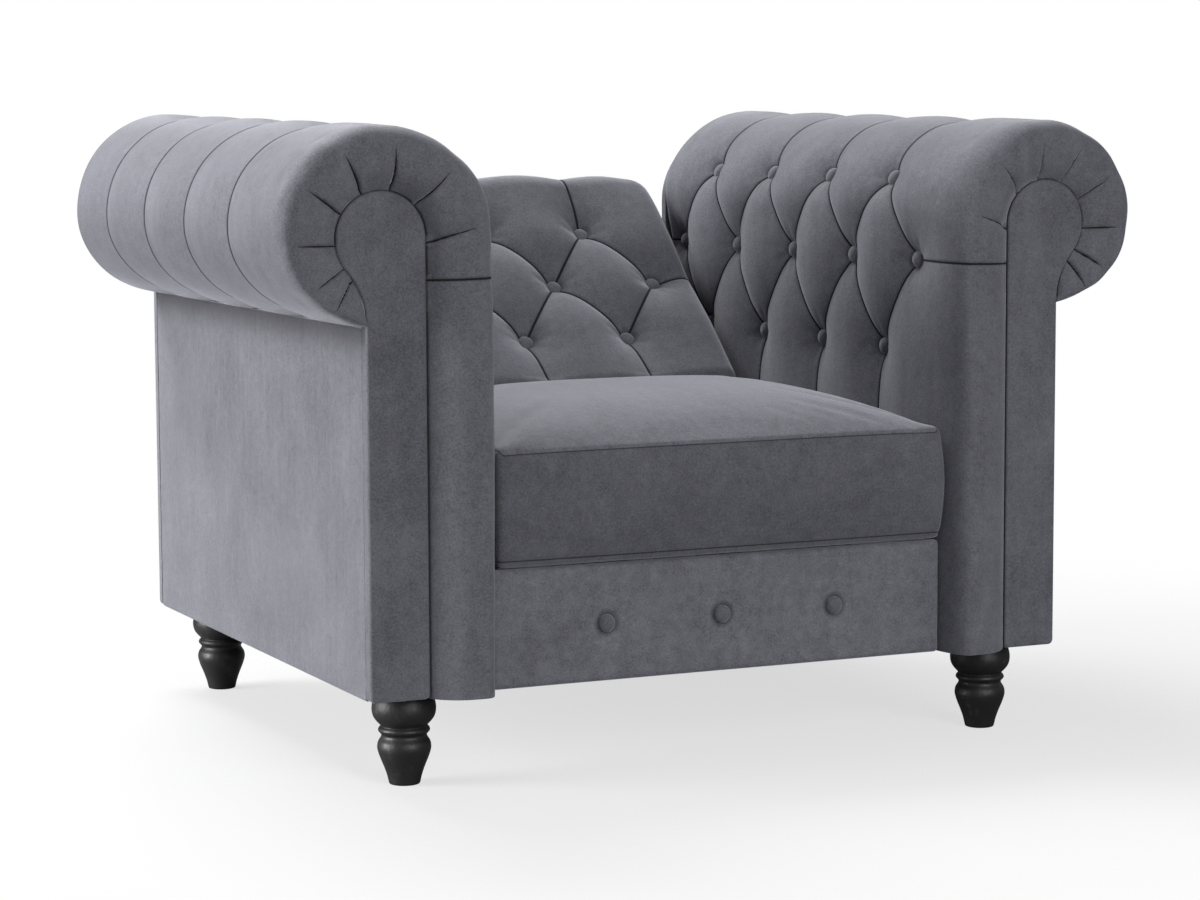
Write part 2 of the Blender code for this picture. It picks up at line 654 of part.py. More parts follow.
def arm(side, word, finishes, parent):
    timber, ply, velvet = finishes["timber"], finishes["plywood"], finishes["velvet"]
    name = f"arm_{word}_"
    base_rail(side, word, timber, parent)
    boards = sided(board_outline(), side)
    prism(name + "front_board", boards, FRONT_BOARD_Y, BOARD_THICKNESS, "Y", ply, parent)
    prism(name + "rear_board", boards, REAR_BOARD_Y, BOARD_THICKNESS, "Y", ply, parent)
    near, far = sorted((side * BOARD_U, side * (BOARD_U + INNER_BOARD_THICKNESS)))
    low = (near, FRAME_FRONT_Y, BASE_RAIL_TOP + GAP)
    box(name + "inner_board", low, (far, FRAME_REAR_Y, INNER_BOARD_TOP), ply, parent)
    roll_core(side, word, finishes["card"], parent)
    arm_pad(side, word, velvet, parent)
    front_pad(side, word, velvet, parent)
    prism(name + "facing", sided(facing_outline(), side), 0.0, FACING_THICKNESS, "Y", velvet, parent)
    top = roll_point(math.radians(ROLL_END_ANGLE))[1] - 2 * GAP
    near, far = sorted((side * (OUTER_U - PANEL_THICKNESS), side * OUTER_U))
    low = (near, FACING_THICKNESS + GAP, BODY_BOTTOM)
    box(name + "outer_panel", low, (far, REAR_PANEL_Y - GAP, top), velvet, parent)
    rear = sided(rear_outline(), side)
    prism(name + "rear_panel", rear, REAR_PANEL_Y, REAR_PANEL_THICKNESS, "Y", velvet, parent)


def foot_profile():
    """Turned foot from the top down: a bun, a ring and a vase that tapers to the floor."""
    height = BODY_BOTTOM - GAP
    shape = (
        (0.0, 1.0), (0.80, 1.0), (0.93, 0.93), (1.0, 0.80), (0.91, 0.69), (0.72, 0.622), (0.80, 0.58),
        (0.71, 0.525), (0.79, 0.455), (0.84, 0.385), (0.78, 0.27), (0.60, 0.10), (0.54, 0.03), (0.46, 0.0),
        (0.0, 0.0)
    )
    return [(FOOT_RADIUS * radius, height * share) for radius, share in shape]


def feet(finishes, parent):
    for word, side in SIDES:
        for end, y in FOOT_PLACES:
            x = side * (OUTER_U - FOOT_INSET)
            name = f"foot_{end}_{word}"
            wood = finishes["black wood"]
            foot = turned(name, foot_profile(), FOOT_SIDES, (0, 0, 1), (x, y, 0), wood, parent)
            smooth(foot)
            start = (x, y, BODY_BOTTOM - STUD_IN_FOOT)
            drill(foot, STUD_RADIUS + BOLT_GAP, start, STUD_IN_FOOT + BOARD_THICKNESS, (0, 0, 1), parent)
            start = (x, y, BODY_BOTTOM - STUD_IN_FOOT + GAP)
            length = STUD_IN_FOOT + STUD_IN_RAIL - 2 * GAP
            rod(f"stud_{end}_{word}", STUD_RADIUS, start, length, (0, 0, 1), finishes["steel"], parent)


def arm_bolts(finishes, parent):
    """Bolts through the seat's side rails into the arms' base rails."""
    inner = RAIL_HALF_SPAN - RAIL_THICKNESS
    shank = BASE_RAIL_U + BOLT_IN_ARM - inner
    profile = [
        (0.0, -BOLT_HEAD_HEIGHT), (BOLT_HEAD_RADIUS, -BOLT_HEAD_HEIGHT), (BOLT_HEAD_RADIUS, -GAP),
        (BOLT_RADIUS, -GAP), (BOLT_RADIUS, shank - GAP), (0.0, shank - GAP)
    ]
    for word, side in SIDES:
        for end, y in BOLT_PLACES:
            place = (side * inner, y, BODY_BOTTOM + BOLT_LIFT)
            name = f"arm_bolt_{end}_{word}"
            turned(name, profile, ROUND_SIDES, (side, 0, 0), place, finishes["steel"], parent)


def seat_rails(finishes, parent):
    timber = finishes["timber"]
    inner = RAIL_HALF_SPAN - RAIL_THICKNESS - GAP
    for name, y, half in (
        ("seat_front_rail", FRONT_RAIL_Y, RAIL_HALF_SPAN),
        ("seat_middle_rail", MIDDLE_RAIL_Y, inner),
        ("seat_rear_rail", REAR_RAIL_Y, RAIL_HALF_SPAN),
    ):
        box(name, (-half, y, RAIL_BOTTOM), (half, y + RAIL_THICKNESS, RAIL_TOP), timber, parent)
    for word, side in SIDES:
        near, far = sorted((side * (RAIL_HALF_SPAN - RAIL_THICKNESS), side * RAIL_HALF_SPAN))
        low = (near, SIDE_RAIL_Y, RAIL_BOTTOM)
        rail = box(f"seat_{word}_rail", low, (far, REAR_RAIL_Y - GAP, RAIL_TOP), timber, parent)
        for _, y in BOLT_PLACES:
            start = (side * (RAIL_HALF_SPAN - 2 * RAIL_THICKNESS), y, BODY_BOTTOM + BOLT_LIFT)
            drill(rail, BOLT_RADIUS + BOLT_GAP, start, 3 * RAIL_THICKNESS, (side, 0, 0), parent)


def seat_straps(finishes, parent):
    """Webbing from the front rail to the middle rail, under the cushion."""
    for number in range(3):
        x = (number - 1) * SEAT_STRAP_PITCH
        low = (x - STRAP_WIDTH / 2, FRONT_RAIL_Y, STRAP_Z)
        high = (x + STRAP_WIDTH / 2, MIDDLE_RAIL_Y + RAIL_THICKNESS, STRAP_Z + STRAP_THICKNESS)
        box(f"seat_strap_{number + 1}", low, high, finishes["webbing"], parent)


def front_panel(finishes, parent):
    """The covered board below the cushion, with three sunk buttons."""
    half = SEAT_HALF_WIDTH - SIDE_GAP
    low = (-half, FRONT_PANEL_Y, BODY_BOTTOM)
    high = (half, FRONT_PANEL_Y + FRONT_PANEL_THICKNESS, RAIL_TOP)
    panel = box("front_panel", low, high, finishes["velvet"], parent)
    button = [(0.0, -GAP), (1.0, -GAP), (1.0, 0.45), (0.75, 0.85), (0.3, 1.0), (0.0, 1.0)]
    profile = [(BUTTON_RADIUS * r, GAP + BUTTON_HEIGHT * max(h, 0.0)) for r, h in button]
    for word, step in (("left", -1), ("middle", 0), ("right", 1)):
        place = (step * FRONT_BUTTON_PITCH, FRONT_BUTTON_SEAT_Y, FRONT_BUTTON_Z)
        drill(panel, BUTTON_RADIUS + BOLT_GAP, place, FRONT_PANEL_THICKNESS, (0, -1, 0), parent)
        name = f"front_button_{word}"
        smooth(turned(name, profile, ROUND_SIDES, (0, -1, 0), place, finishes["velvet"], parent))


def cushion_ring(level):
    """Points round the cushion at a level from 0, its bottom seam, to 1, its top seam."""
    swell = math.sin(math.pi * level)
    points = []
    for x, y in rim(CUSHION_COLUMNS, CUSHION_ROWS):
        draw = CUSHION_DRAW_IN * (1 - abs(y) ** 3) * (1 - 0.5 * swell)
        across = x * CUSHION_HALF_WIDTH - math.copysign(draw, x) * (abs(x) == 1)
        front = CUSHION_FRONT - CUSHION_NOSE * swell * (1 - x**4)
        along = mix(front, CUSHION_REAR, (y + 1) / 2)
        points.append((across, along, CUSHION_Z + CUSHION_EDGE * level))
    return points


def rim(columns, rows):
    """Grid places round a square from -1 to 1, anticlockwise from the front left corner."""
    xs = spaced(-1, 1, columns)
    ys = spaced(-1, 1, rows)
    front = [(x, -1) for x in xs[:-1]]
    right = [(1, y) for y in ys[:-1]]
    rear = [(x, 1) for x in reversed(xs[1:])]
    left = [(-1, y) for y in reversed(ys[1:])]
    return front + right + rear + left


def seat_cushion(finishes, parent):
    """A box cushion: flat below, sides drawn in between the corners, and a crowned top."""
    builder = bmesh.new()
    rings = []
    for level in CUSHION_LEVELS:
        rings.append([builder.verts.new(point) for point in cushion_ring(level)])
    for first, second in zip(rings, rings[1:]):
        for k in range(len(first)):
            following = (k + 1) % len(first)
            builder.faces.new((first[k], first[following], second[following], second[k]))
    builder.faces.new(list(reversed(rings[0])))
    top = dict(zip(rim(CUSHION_COLUMNS, CUSHION_ROWS), rings[-1]))
    xs = spaced(-1, 1, CUSHION_COLUMNS)
    ys = spaced(-1, 1, CUSHION_ROWS)
    for x in xs[1:-1]:
        for y in ys[1:-1]:
            rise = CUSHION_CROWN * ((1 - x**4) * (1 - y**4)) ** 0.7
            along = mix(CUSHION_FRONT, CUSHION_REAR, (y + 1) / 2)
            place = (x * CUSHION_HALF_WIDTH, along, CUSHION_Z + CUSHION_EDGE + rise)
            top[x, y] = builder.verts.new(place)
    for x, next_x in zip(xs, xs[1:]):
        for y, next_y in zip(ys, ys[1:]):
            builder.faces.new((top[x, y], top[next_x, y], top[next_x, next_y], top[x, next_y]))
    smooth(piece("seat_cushion", builder, finishes["velvet"], parent), 50)


def dust_cover(finishes, parent):
    top = RAIL_BOTTOM - GAP
    low = (-RAIL_HALF_SPAN, FRONT_RAIL_Y, top - DUST_COVER_THICKNESS)
    high = (RAIL_HALF_SPAN, REAR_RAIL_Y + RAIL_THICKNESS, top)
    box("dust_cover", low, high, finishes["cambric"], parent)


def back_frame(finishes, parent):
    timber = finishes["timber"]
    rear = BACK_FRAME_Y + BACK_FRAME_THICKNESS
    for word, side in SIDES:
        near, far = sorted((side * (BACK_HALF_WIDTH - POST_WIDTH), side * BACK_HALF_WIDTH))
        box(f"back_{word}_post", (near, BACK_FRAME_Y, 0), (far, rear, BACK_FRAME_TOP), timber, parent)
    half = BACK_HALF_WIDTH - POST_WIDTH - GAP
    for word, bottom in (("bottom", 0.0), ("top", BACK_FRAME_TOP - BACK_RAIL_HEIGHT)):
        high = (half, rear, bottom + BACK_RAIL_HEIGHT)
        box(f"back_{word}_rail", (-half, BACK_FRAME_Y, bottom), high, timber, parent)
    for word, side in SIDES:
        x = side * BACK_STRAP_PITCH / 2
        low = (x - STRAP_WIDTH / 2, BACK_STRAP_Y, 0.0)
        high = (x + STRAP_WIDTH / 2, BACK_STRAP_Y + STRAP_THICKNESS, BACK_FRAME_TOP)
        box(f"back_{word}_strap", low, high, finishes["webbing"], parent)
    low = (-BACK_HALF_WIDTH, BACK_PANEL_Y, 0.0)
    box("back_rear_panel", low, (BACK_HALF_WIDTH, BACK_REAR, BACK_FRAME_TOP), finishes["velvet"], parent)


def back_section(tufting):
    """Stations round the pad from its lower rear edge, up the front and over the top: (y, z), normal."""
    front = -BACK_FRONT
    low, high = tufting.middle - tufting.row, tufting.middle + tufting.row
    stations = [((BACK_PAD_REAR, -BACK_BOTTOM), Vector((0, -1)))]
    corner = (front + BACK_BOTTOM_ROUND, BACK_BOTTOM_ROUND - BACK_BOTTOM)
    for angle in degrees_between(270, 180, 3):
        stations.append((polar(corner, BACK_BOTTOM_ROUND, angle), direction(angle)))
    crest = (front + BACK_TOP_ROUND, BACK_TOP - BACK_TOP_ROUND)
    heights = spaced(stations[-1][0][1], low, 2)[1:] + spaced(low, high, CELLS)[1:] + [(high + crest[1]) / 2]
    for z in heights:
        stations.append(((front, z), direction(math.pi)))
    for angle in degrees_between(180, 90, 4):
        stations.append((polar(crest, BACK_TOP_ROUND, angle), direction(angle)))
    rear_round = BACK_TOP - BACK_FRAME_TOP - GAP
    nape = (BACK_REAR - rear_round, BACK_TOP - rear_round)
    for angle in degrees_between(90, 0, 2):
        stations.append((polar(nape, rear_round, angle), direction(angle)))
    return stations


def back_lines(tufting):
    half = BACK_HALF_WIDTH
    edges = [half - BACK_SIDE_ROUND * share for share in BACK_SIDE_LINES]
    spare = tufting.pitch / CELLS / 4  # least distance to the rounded sides' first line
    inner = [x for x in tuft_lines(tufting, -half, half)[1:-1] if abs(x) < edges[0] - spare]
    return [-x for x in reversed(edges)] + inner + edges


def side_round(x):
    """How far the pad's face falls away near its left and right edges."""
    over = max(0.0, abs(x) - (BACK_HALF_WIDTH - BACK_SIDE_ROUND))
    return BACK_SIDE_ROUND - math.sqrt(max(0.0, BACK_SIDE_ROUND**2 - over**2))


def back_pad(finishes, parent):
    """The buttoned back padding, rounded at its sides and foot and wrapped over the top of the frame."""
    first = BACK_TUFT_MARGIN - BACK_HALF_WIDTH
    tufting = Tufting(first, BACK_COLUMNS, BACK_PITCH, BACK_MIDDLE_ROW, BACK_ROW)
    builder = bmesh.new()
    lines = back_lines(tufting)
    outer, depths = [], []
    for (y, z), normal in back_section(tufting):
        facing = max(0.0, -normal[0])
        if z > BACK_MIDDLE_ROW:
            facing = max(0.0, mix(-normal[0], 1.0, TOP_CHANNEL_SHARE))
        drawn = [facing * tufting.depth(x, z, BACK_TUFT_DEPTH, BACK_CHANNEL_DEPTH) for x in lines]
        forward = (BACK_PAD_REAR - y) / (BACK_PAD_REAR + BACK_FRONT)
        fall = [min(1.0, max(0.0, forward) * BACK_SIDE_GROWTH) * side_round(x) for x in lines]
        drawn = [min(d, BACK_TUFT_DEPTH) * (1 - f / BACK_SIDE_ROUND) + f for d, f in zip(drawn, fall)]
        depths.append(drawn)
        row = [(x, y - normal[0] * d, z - normal[1] * d) for x, d in zip(lines, drawn)]
        outer.append([builder.verts.new(point) for point in row])
    quilt(builder, outer, depths)
    close_back(builder, outer)
    pad = piece("back_pad", builder, finishes["velvet"], parent)
    facing = Vector((0, -1, 0))
    places = [(Vector((x, BACK_TUFT_DEPTH - BACK_FRONT, z)), facing) for x, z in tufting.buttons()]
    combine(pad, tuft_buttons("back_buttons", places, finishes["velvet"], parent), "UNION")
    smooth(pad)


def close_back(builder, outer):
    """The pad's flat faces against the frame, and its two sides."""
    shelf = BACK_FRAME_TOP + GAP
    inside = []
    for row_end in (0, -1):
        x = outer[0][row_end].co.x
        lip = builder.verts.new((x, BACK_PAD_REAR, shelf))
        inside.append(lip)
        builder.faces.new([row[row_end] for row in outer] + [lip])
    builder.faces.new([*outer[-1], inside[1], inside[0]])
    builder.faces.new([*outer[0], inside[1], inside[0]])


def hinge(side, word, finishes, seat, back):
    """A click-clack hinge: a plate on the seat's side rail, one on the back's post, and their pin."""
    steel = finishes["steel"]
    rear = BACK_FRAME_Y + BACK_FRAME_THICKNESS
    lug = [polar((0, 0), LUG_RADIUS, a) for a in degrees_between(290, 120, LUG_STEPS)]
    outline = [(rear, 0.0), *lug, (BACK_FRAME_Y, BACK_PLATE_LENGTH), (rear, BACK_PLATE_LENGTH)]
    start = side * (BACK_HALF_WIDTH + GAP)
    hole = PIN_RADIUS + PIN_GAP
    plate = prism(f"hinge_back_plate_{word}", outline, start, side * PLATE_THICKNESS, "X", steel, back)
    drill(plate, hole, (start - side * PIN_RADIUS, 0, 0), 4 * PIN_RADIUS, (side, 0, 0), back)
    lug = [polar((PIVOT_Y, PIVOT_Z), LUG_RADIUS, a) for a in degrees_between(0, 180, LUG_STEPS)]
    half = SEAT_PLATE_WIDTH / 2
    foot = [(PIVOT_Y - half, RAIL_TOP), (PIVOT_Y - half, SEAT_PLATE_BOTTOM)]
    outline = [*lug, *foot, (PIVOT_Y + half, SEAT_PLATE_BOTTOM), (PIVOT_Y + half, RAIL_TOP)]
    start = side * PLATE_U
    plate = prism(f"hinge_seat_plate_{word}", outline, start, side * PLATE_THICKNESS, "X", steel, seat)
    drill(plate, hole, (start - side * PIN_RADIUS, PIVOT_Y, PIVOT_Z), 4 * PIN_RADIUS, (side, 0, 0), seat)
    start = BACK_HALF_WIDTH + 2 * GAP
    under_head = PLATE_U + PLATE_THICKNESS + GAP - start
    top = under_head + PIN_HEAD_HEIGHT
    profile = [
        (0.0, 0.0), (PIN_RADIUS, 0.0), (PIN_RADIUS, under_head), (PIN_HEAD_RADIUS, under_head),
        (PIN_HEAD_RADIUS, top), (0.0, top)
    ]
    place = (side * start, PIVOT_Y, PIVOT_Z)
    turned(f"hinge_pin_{word}", profile, ROUND_SIDES, (side, 0, 0), place, steel, seat)


def empty(name, parent):
    obj = bpy.data.objects.new(name, None)
    bpy.context.scene.collection.objects.link(obj)
    obj.parent = parent
    return obj


def footprint_middle():
    """The middle of the chair from front to rear, as it stands."""
    bpy.context.view_layer.update()
    graph = bpy.context.evaluated_depsgraph_get()
    places = []
    for obj in bpy.context.scene.objects:
        if obj.type == "MESH" and not obj.hide_render:
            shape = obj.evaluated_get(graph)
            places += [(shape.matrix_world @ vertex.co).y for vertex in shape.data.vertices]
    return (min(places) + max(places)) / 2


def main():
    clear_scene()
    finishes = {
        "velvet": finish("grey velvet", (0.135, 0.135, 0.155), 0.9),
        "timber": finish("pine", (0.55, 0.38, 0.21), 0.7),
        "plywood": finish("plywood", (0.60, 0.44, 0.27), 0.7),
        "card": finish("wound card", (0.42, 0.30, 0.18), 0.85),
        "webbing": finish("black webbing", (0.03, 0.03, 0.03), 0.8),
        "cambric": finish("black cambric", (0.02, 0.02, 0.02), 0.9),
        "steel": finish("zinc steel", (0.55, 0.56, 0.58), 0.4, 1.0),
        "black wood": finish("black lacquered wood", (0.02, 0.018, 0.017), 0.45),
    }
    chair = empty("chair", None)
    back = empty("back_axis", chair)
    back.location = (0.0, PIVOT_Y, PIVOT_Z)
    back.rotation_euler = (-REST_LEAN, 0.0, 0.0)
    for word, side in SIDES:
        arm(side, word, finishes, chair)
        hinge(side, word, finishes, chair, back)
    feet(finishes, chair)
    arm_bolts(finishes, chair)
    seat_rails(finishes, chair)
    seat_straps(finishes, chair)
    front_panel(finishes, chair)
    seat_cushion(finishes, chair)
    dust_cover(finishes, chair)
    back_frame(finishes, back)
    back_pad(finishes, back)
    chair.location.y = -footprint_middle()
    bpy.context.view_layer.update()
    print("hinge axis at", [round(value, 5) for value in back.matrix_world.translation])
    print("chair moved by", round(chair.location.y, 5))


main()
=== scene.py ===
"""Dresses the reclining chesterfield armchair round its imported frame, from the timber out to the studio.

Metres, +Z up, the front faces -Y. Left and right are as seen by someone facing the chair.
"""

import json
import math

import bmesh
import bpy
import numpy as np
from mathutils import Matrix, Vector


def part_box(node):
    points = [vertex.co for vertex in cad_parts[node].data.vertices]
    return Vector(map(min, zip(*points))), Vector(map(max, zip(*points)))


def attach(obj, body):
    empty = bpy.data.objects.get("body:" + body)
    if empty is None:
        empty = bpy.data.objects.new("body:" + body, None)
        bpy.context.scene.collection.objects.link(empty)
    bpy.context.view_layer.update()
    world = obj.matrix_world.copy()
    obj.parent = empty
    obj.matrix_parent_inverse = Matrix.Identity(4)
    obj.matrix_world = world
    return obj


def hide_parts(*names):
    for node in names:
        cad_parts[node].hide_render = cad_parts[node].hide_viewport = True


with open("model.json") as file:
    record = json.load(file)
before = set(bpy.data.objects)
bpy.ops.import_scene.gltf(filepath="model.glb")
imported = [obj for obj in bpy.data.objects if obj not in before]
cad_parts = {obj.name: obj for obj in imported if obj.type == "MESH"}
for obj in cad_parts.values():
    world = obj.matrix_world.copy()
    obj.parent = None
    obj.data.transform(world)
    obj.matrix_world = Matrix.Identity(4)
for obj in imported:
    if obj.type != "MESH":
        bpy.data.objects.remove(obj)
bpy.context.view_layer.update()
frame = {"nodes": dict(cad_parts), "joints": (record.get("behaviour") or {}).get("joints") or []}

nodes = frame["nodes"]
SIDES = (("left", -1), ("right", 1))


# Timber frame: sawn pine rails, plywood boards inside the arms and a wound card tube in each scroll, glued
# and stapled. They are left bare, because the covers hide them from everywhere but behind and below.

class Wire:
    """An output socket that takes part in Python arithmetic: each operator adds its Math node."""

    def __init__(self, maker, socket):
        self.maker = maker
        self.socket = socket

    def output(self, name):
        """Another output of the same node."""
        return Wire(self.maker, self.socket.node.outputs[name])

    def math(self, operation, *values):
        return self.maker.node("ShaderNodeMath", {"operation": operation}, dict(enumerate(values)))

    def __add__(self, other):
        return self.math("ADD", self, other)

    def __sub__(self, other):
        return self.math("SUBTRACT", self, other)

    def __rsub__(self, other):
        return self.math("SUBTRACT", other, self)

    def __mul__(self, other):
        return self.math("MULTIPLY", self, other)

    def __abs__(self):
        return self.math("ABSOLUTE", self)

    __radd__ = __add__
    __rmul__ = __mul__


class Maker:
    """Fills a node tree. node() adds any node: its settings first, then its sockets' values or links."""

    def __init__(self, tree):
        self.tree = tree

    def node(self, kind, settings, sockets, output=0):
        made = self.tree.nodes.new(kind)
        for name, value in settings.items():
            setattr(made, name, value)
        self.feed(made, sockets)
        return Wire(self, made.outputs[output]) if made.outputs else None

    def feed(self, made, sockets):
        for name, value in sockets.items():
            if isinstance(value, Wire):
                self.tree.links.new(value.socket, made.inputs[name])
            else:
                made.inputs[name].default_value = value


class Finish(Maker):
    """A material being mixed."""

    def __init__(self, name):
        self.material = bpy.data.materials.new(name)
        self.material.use_nodes = True
        super().__init__(self.material.node_tree)
        self.shader = self.tree.nodes["Principled BSDF"]

    def surface(self, sockets):
        self.feed(self.shader, sockets)

    def mix(self, share, under, over):
        """Lays one shader over another on the material's output."""
        both = self.node("ShaderNodeMixShader", {}, {0: share, 1: under, 2: over})
        self.feed(self.tree.nodes["Material Output"], {"Surface": both})

    def place(self, scale=(1.0, 1.0, 1.0), turn=0.0):
        """Object coordinates, turned about X and then stretched."""
        here = self.node("ShaderNodeTexCoord", {}, {}, "Object")
        turned = self.node("ShaderNodeMapping", {}, {"Vector": here, "Rotation": (turn, 0.0, 0.0)})
        return self.node("ShaderNodeMapping", {}, {"Vector": turned, "Scale": scale})

    def attribute(self, name, output="Vector"):
        return self.node("ShaderNodeAttribute", {"attribute_name": name}, {}, output)

    def split(self, vector):
        """The three parts of a vector."""
        first = self.node("ShaderNodeSeparateXYZ", {}, {"Vector": vector})
        return first, first.output("Y"), first.output("Z")

    def noise(self, place, scale, detail=2.0, roughness=0.5):
        sockets = {"Vector": place, "Scale": scale, "Detail": detail, "Roughness": roughness}
        return self.node("ShaderNodeTexNoise", {}, sockets)

    def between(self, value, start, end, low=0.0, high=1.0):
        """A soft step from low to high as the value goes from start to end."""
        sockets = {"Value": value, "From Min": start, "From Max": end, "To Min": low, "To Max": high}
        return self.node("ShaderNodeMapRange", {"interpolation_type": "SMOOTHSTEP"}, sockets)

    def blend(self, share, first, second, way="MIX"):
        settings = {"data_type": "RGBA", "blend_type": way}
        return self.node("ShaderNodeMix", settings, {0: share, 6: first, 7: second}, 2)

    def bump(self, height, distance, strength=1.0):
        sockets = {"Height": height, "Distance": distance, "Strength": strength}
        return self.node("ShaderNodeBump", {}, sockets)


def colour(red, green, blue):
    return (red, green, blue, 1.0)


def paint(names, finish):
    """Gives CAD nodes a finish."""
    for name in names:
        nodes[name].material_slots[0].material = finish.material


def wood(name, pale, dark, along):
    """Bare sawn wood with its grain along one axis."""
    finish = Finish(name)
    stretch = [55.0, 55.0, 55.0]
    stretch[along] = 2.5
    grain = finish.noise(finish.place(stretch), 1.0, 5.0, 0.62)
    saw = finish.noise(finish.place(), 700.0, 1.0)
    figure = finish.between(grain, 0.36, 0.66)
    finish.surface({
        "Base Color": finish.blend(figure, pale, dark),
        "Roughness": 0.62 + 0.22 * saw,
        "Normal": finish.bump(grain + 0.3 * saw, 0.0008, 0.5),
    })
    return finish


PINE = colour(0.62, 0.44, 0.25), colour(0.42, 0.26, 0.13)
PLY = colour(0.60, 0.45, 0.28), colour(0.47, 0.33, 0.19)
CARD = colour(0.40, 0.29, 0.18), colour(0.33, 0.23, 0.14)
paint(["seat_middle_rail", "back_top_rail", "back_bottom_rail"], wood("pine_across", *PINE, 0))
paint([f"seat_{word}_rail" for word, _ in SIDES], wood("pine_along", *PINE, 1))
plywood = wood("plywood", *PLY, 2)
card = wood("wound_card", *CARD, 0)
for word, _ in SIDES:
    paint([f"arm_{word}_{board}_board" for board in ("front", "rear", "inner")], plywood)
    paint([f"arm_{word}_roll_core"], card)


# Webbing and dust cover: woven straps tacked to the rails under the cushion and behind the back pad, and a
# thin black non-woven cloth stapled under the seat.

REST_LEAN = math.radians(48.0)  # of the back, from upright
WEBBING = colour(0.03, 0.03, 0.032)
DUST_CLOTH = colour(0.018, 0.018, 0.02)
STRAP_THREAD = 0.018
DUST_THREAD = 0.006


def woven(name, shade, thread, turn=0.0):
    """Flat weave: two sets of threads that pass over and under each other."""
    finish = Finish(name)
    place = finish.place(turn=turn)
    sockets = {"Vector": place, "Scale": 1 / thread}
    across = finish.node("ShaderNodeTexWave", {"bands_direction": "X"}, sockets)
    along = finish.node("ShaderNodeTexWave", {"bands_direction": "Y"}, sockets)
    cloth = across * along
    dust = finish.noise(place, 60.0, 4.0)
    pale = colour(*(min(1.0, 2.4 * channel) for channel in shade[:3]))
    finish.surface({
        "Base Color": finish.blend(0.6 * cloth + 0.3 * dust, shade, pale),
        "Roughness": 0.75 + 0.2 * dust,
        "Normal": finish.bump(cloth, 0.0006),
    })
    return finish


paint([f"seat_strap_{number}" for number in (1, 2, 3)], woven("seat_webbing", WEBBING, STRAP_THREAD))
paint([f"back_{word}_strap" for word, _ in SIDES], woven("back_webbing", WEBBING, STRAP_THREAD, REST_LEAN))
paint(["dust_cover"], woven("dust_cloth", DUST_CLOTH, DUST_THREAD))


# Hinges and fasteners: pressed zinc-plated steel plates and pins, bolts through the seat rails into the arms,
# and the hanger bolts that the feet screw on to.

def zinc_steel():
    finish = Finish("zinc_steel")
    spangle = finish.noise(finish.place(), 160.0, 3.0)
    scratch = finish.noise(finish.place((900.0, 900.0, 30.0)), 1.0, 2.0)
    finish.surface({
        "Base Color": finish.blend(spangle, colour(0.50, 0.51, 0.53), colour(0.64, 0.64, 0.65)),
        "Metallic": 1.0,
        "Roughness": 0.28 + 0.25 * spangle + 0.1 * scratch,
        "Normal": finish.bump(scratch, 0.0002, 0.4),
    })
    return finish


steel_nodes = [name for name in nodes if name.startswith(("hinge_", "stud_", "arm_bolt_"))]
paint(steel_nodes, zinc_steel())


# Outer arm panels: thin boards under wadding and velvet, nailed on last. Their velvet is brushed downwards,
# which leaves faint upright streaks, and every edge is softly rounded.

VELVET = colour(0.149, 0.151, 0.175)
# Painted shade: the colour of seam lines, of the creases beside them and of the rings round buttons.
SEAM_SHADE = colour(0.020, 0.020, 0.024)
SPECKLED = 1.6  # weight of the finest grain in the colour
STREAKED = 0.45  # weight of the streaks along the nap
CREASE_DARK = 0.45  # how far painted shade darkens the cloth beside a seam
LINE_DARK = 0.92  # how far painted shade darkens a seam's own line
LINE_MATT = 0.85  # share of a seam's line under a matt dark shader without sheen, as painted shade
CREASE_SINK = 2.5


def velvet(
    name, seams=None, nap=(70.0, 70.0, 3.0), shade=VELVET, mottled=0.7, clouded=0.45, painted_shading=None, sheen=0.7
):
    """Short-pile velvet: clouded, streaked along the nap and speckled, with a sheen at grazing angles."""
    finish = Finish(name)
    place = finish.place()
    clouds = finish.noise(place, 9.0, 4.0) - 0.5
    mottle = finish.noise(place, 75.0, 4.0, 0.75) - 0.5
    speckle = finish.noise(place, 430.0, 3.0, 0.8) - 0.5
    streaks = finish.noise(finish.place(nap), 1.0, 3.0, 0.6) - 0.5
    tone = 1.0 + clouded * clouds + mottled * mottle + SPECKLED * speckle + STREAKED * streaks
    # Painted shading: a given pattern of painted light and shade multiplies the colour.
    if painted_shading:
        tone = tone * painted_shading(finish)
    cloth = finish.blend(1.0, shade, tone, "MULTIPLY")
    relief = 1.4 * speckle + mottle
    # Painted shade on the seams: the cloth darkens on their lines and in the creases beside them, and a matt
    # dark shader without sheen is laid over the lines.
    if seams:
        line, crease = seams(finish)
        cloth = finish.blend(CREASE_DARK * crease, cloth, SEAM_SHADE)
        cloth = finish.blend(LINE_DARK * line, cloth, SEAM_SHADE)
        matt = {"Base Color": SEAM_SHADE, "Roughness": 1.0, "Specular IOR Level": 0.0}
        painted_seam_shadow = finish.node("ShaderNodeBsdfPrincipled", {}, matt)
        finish.mix(LINE_MATT * line, Wire(finish, finish.shader.outputs[0]), painted_seam_shadow)
        relief = relief - CREASE_SINK * crease
    finish.surface({
        "Base Color": cloth,
        "Roughness": 0.80 + 0.3 * mottle,
        "Normal": finish.bump(relief, 0.0005, 0.8),
        "Specular IOR Level": 0.18,
        "Sheen Weight": sheen,
        "Sheen Roughness": 0.45,
        "Sheen Tint": colour(0.86, 0.86, 0.95),
    })
    return finish


SHARP_ANGLE = math.radians(50.0)


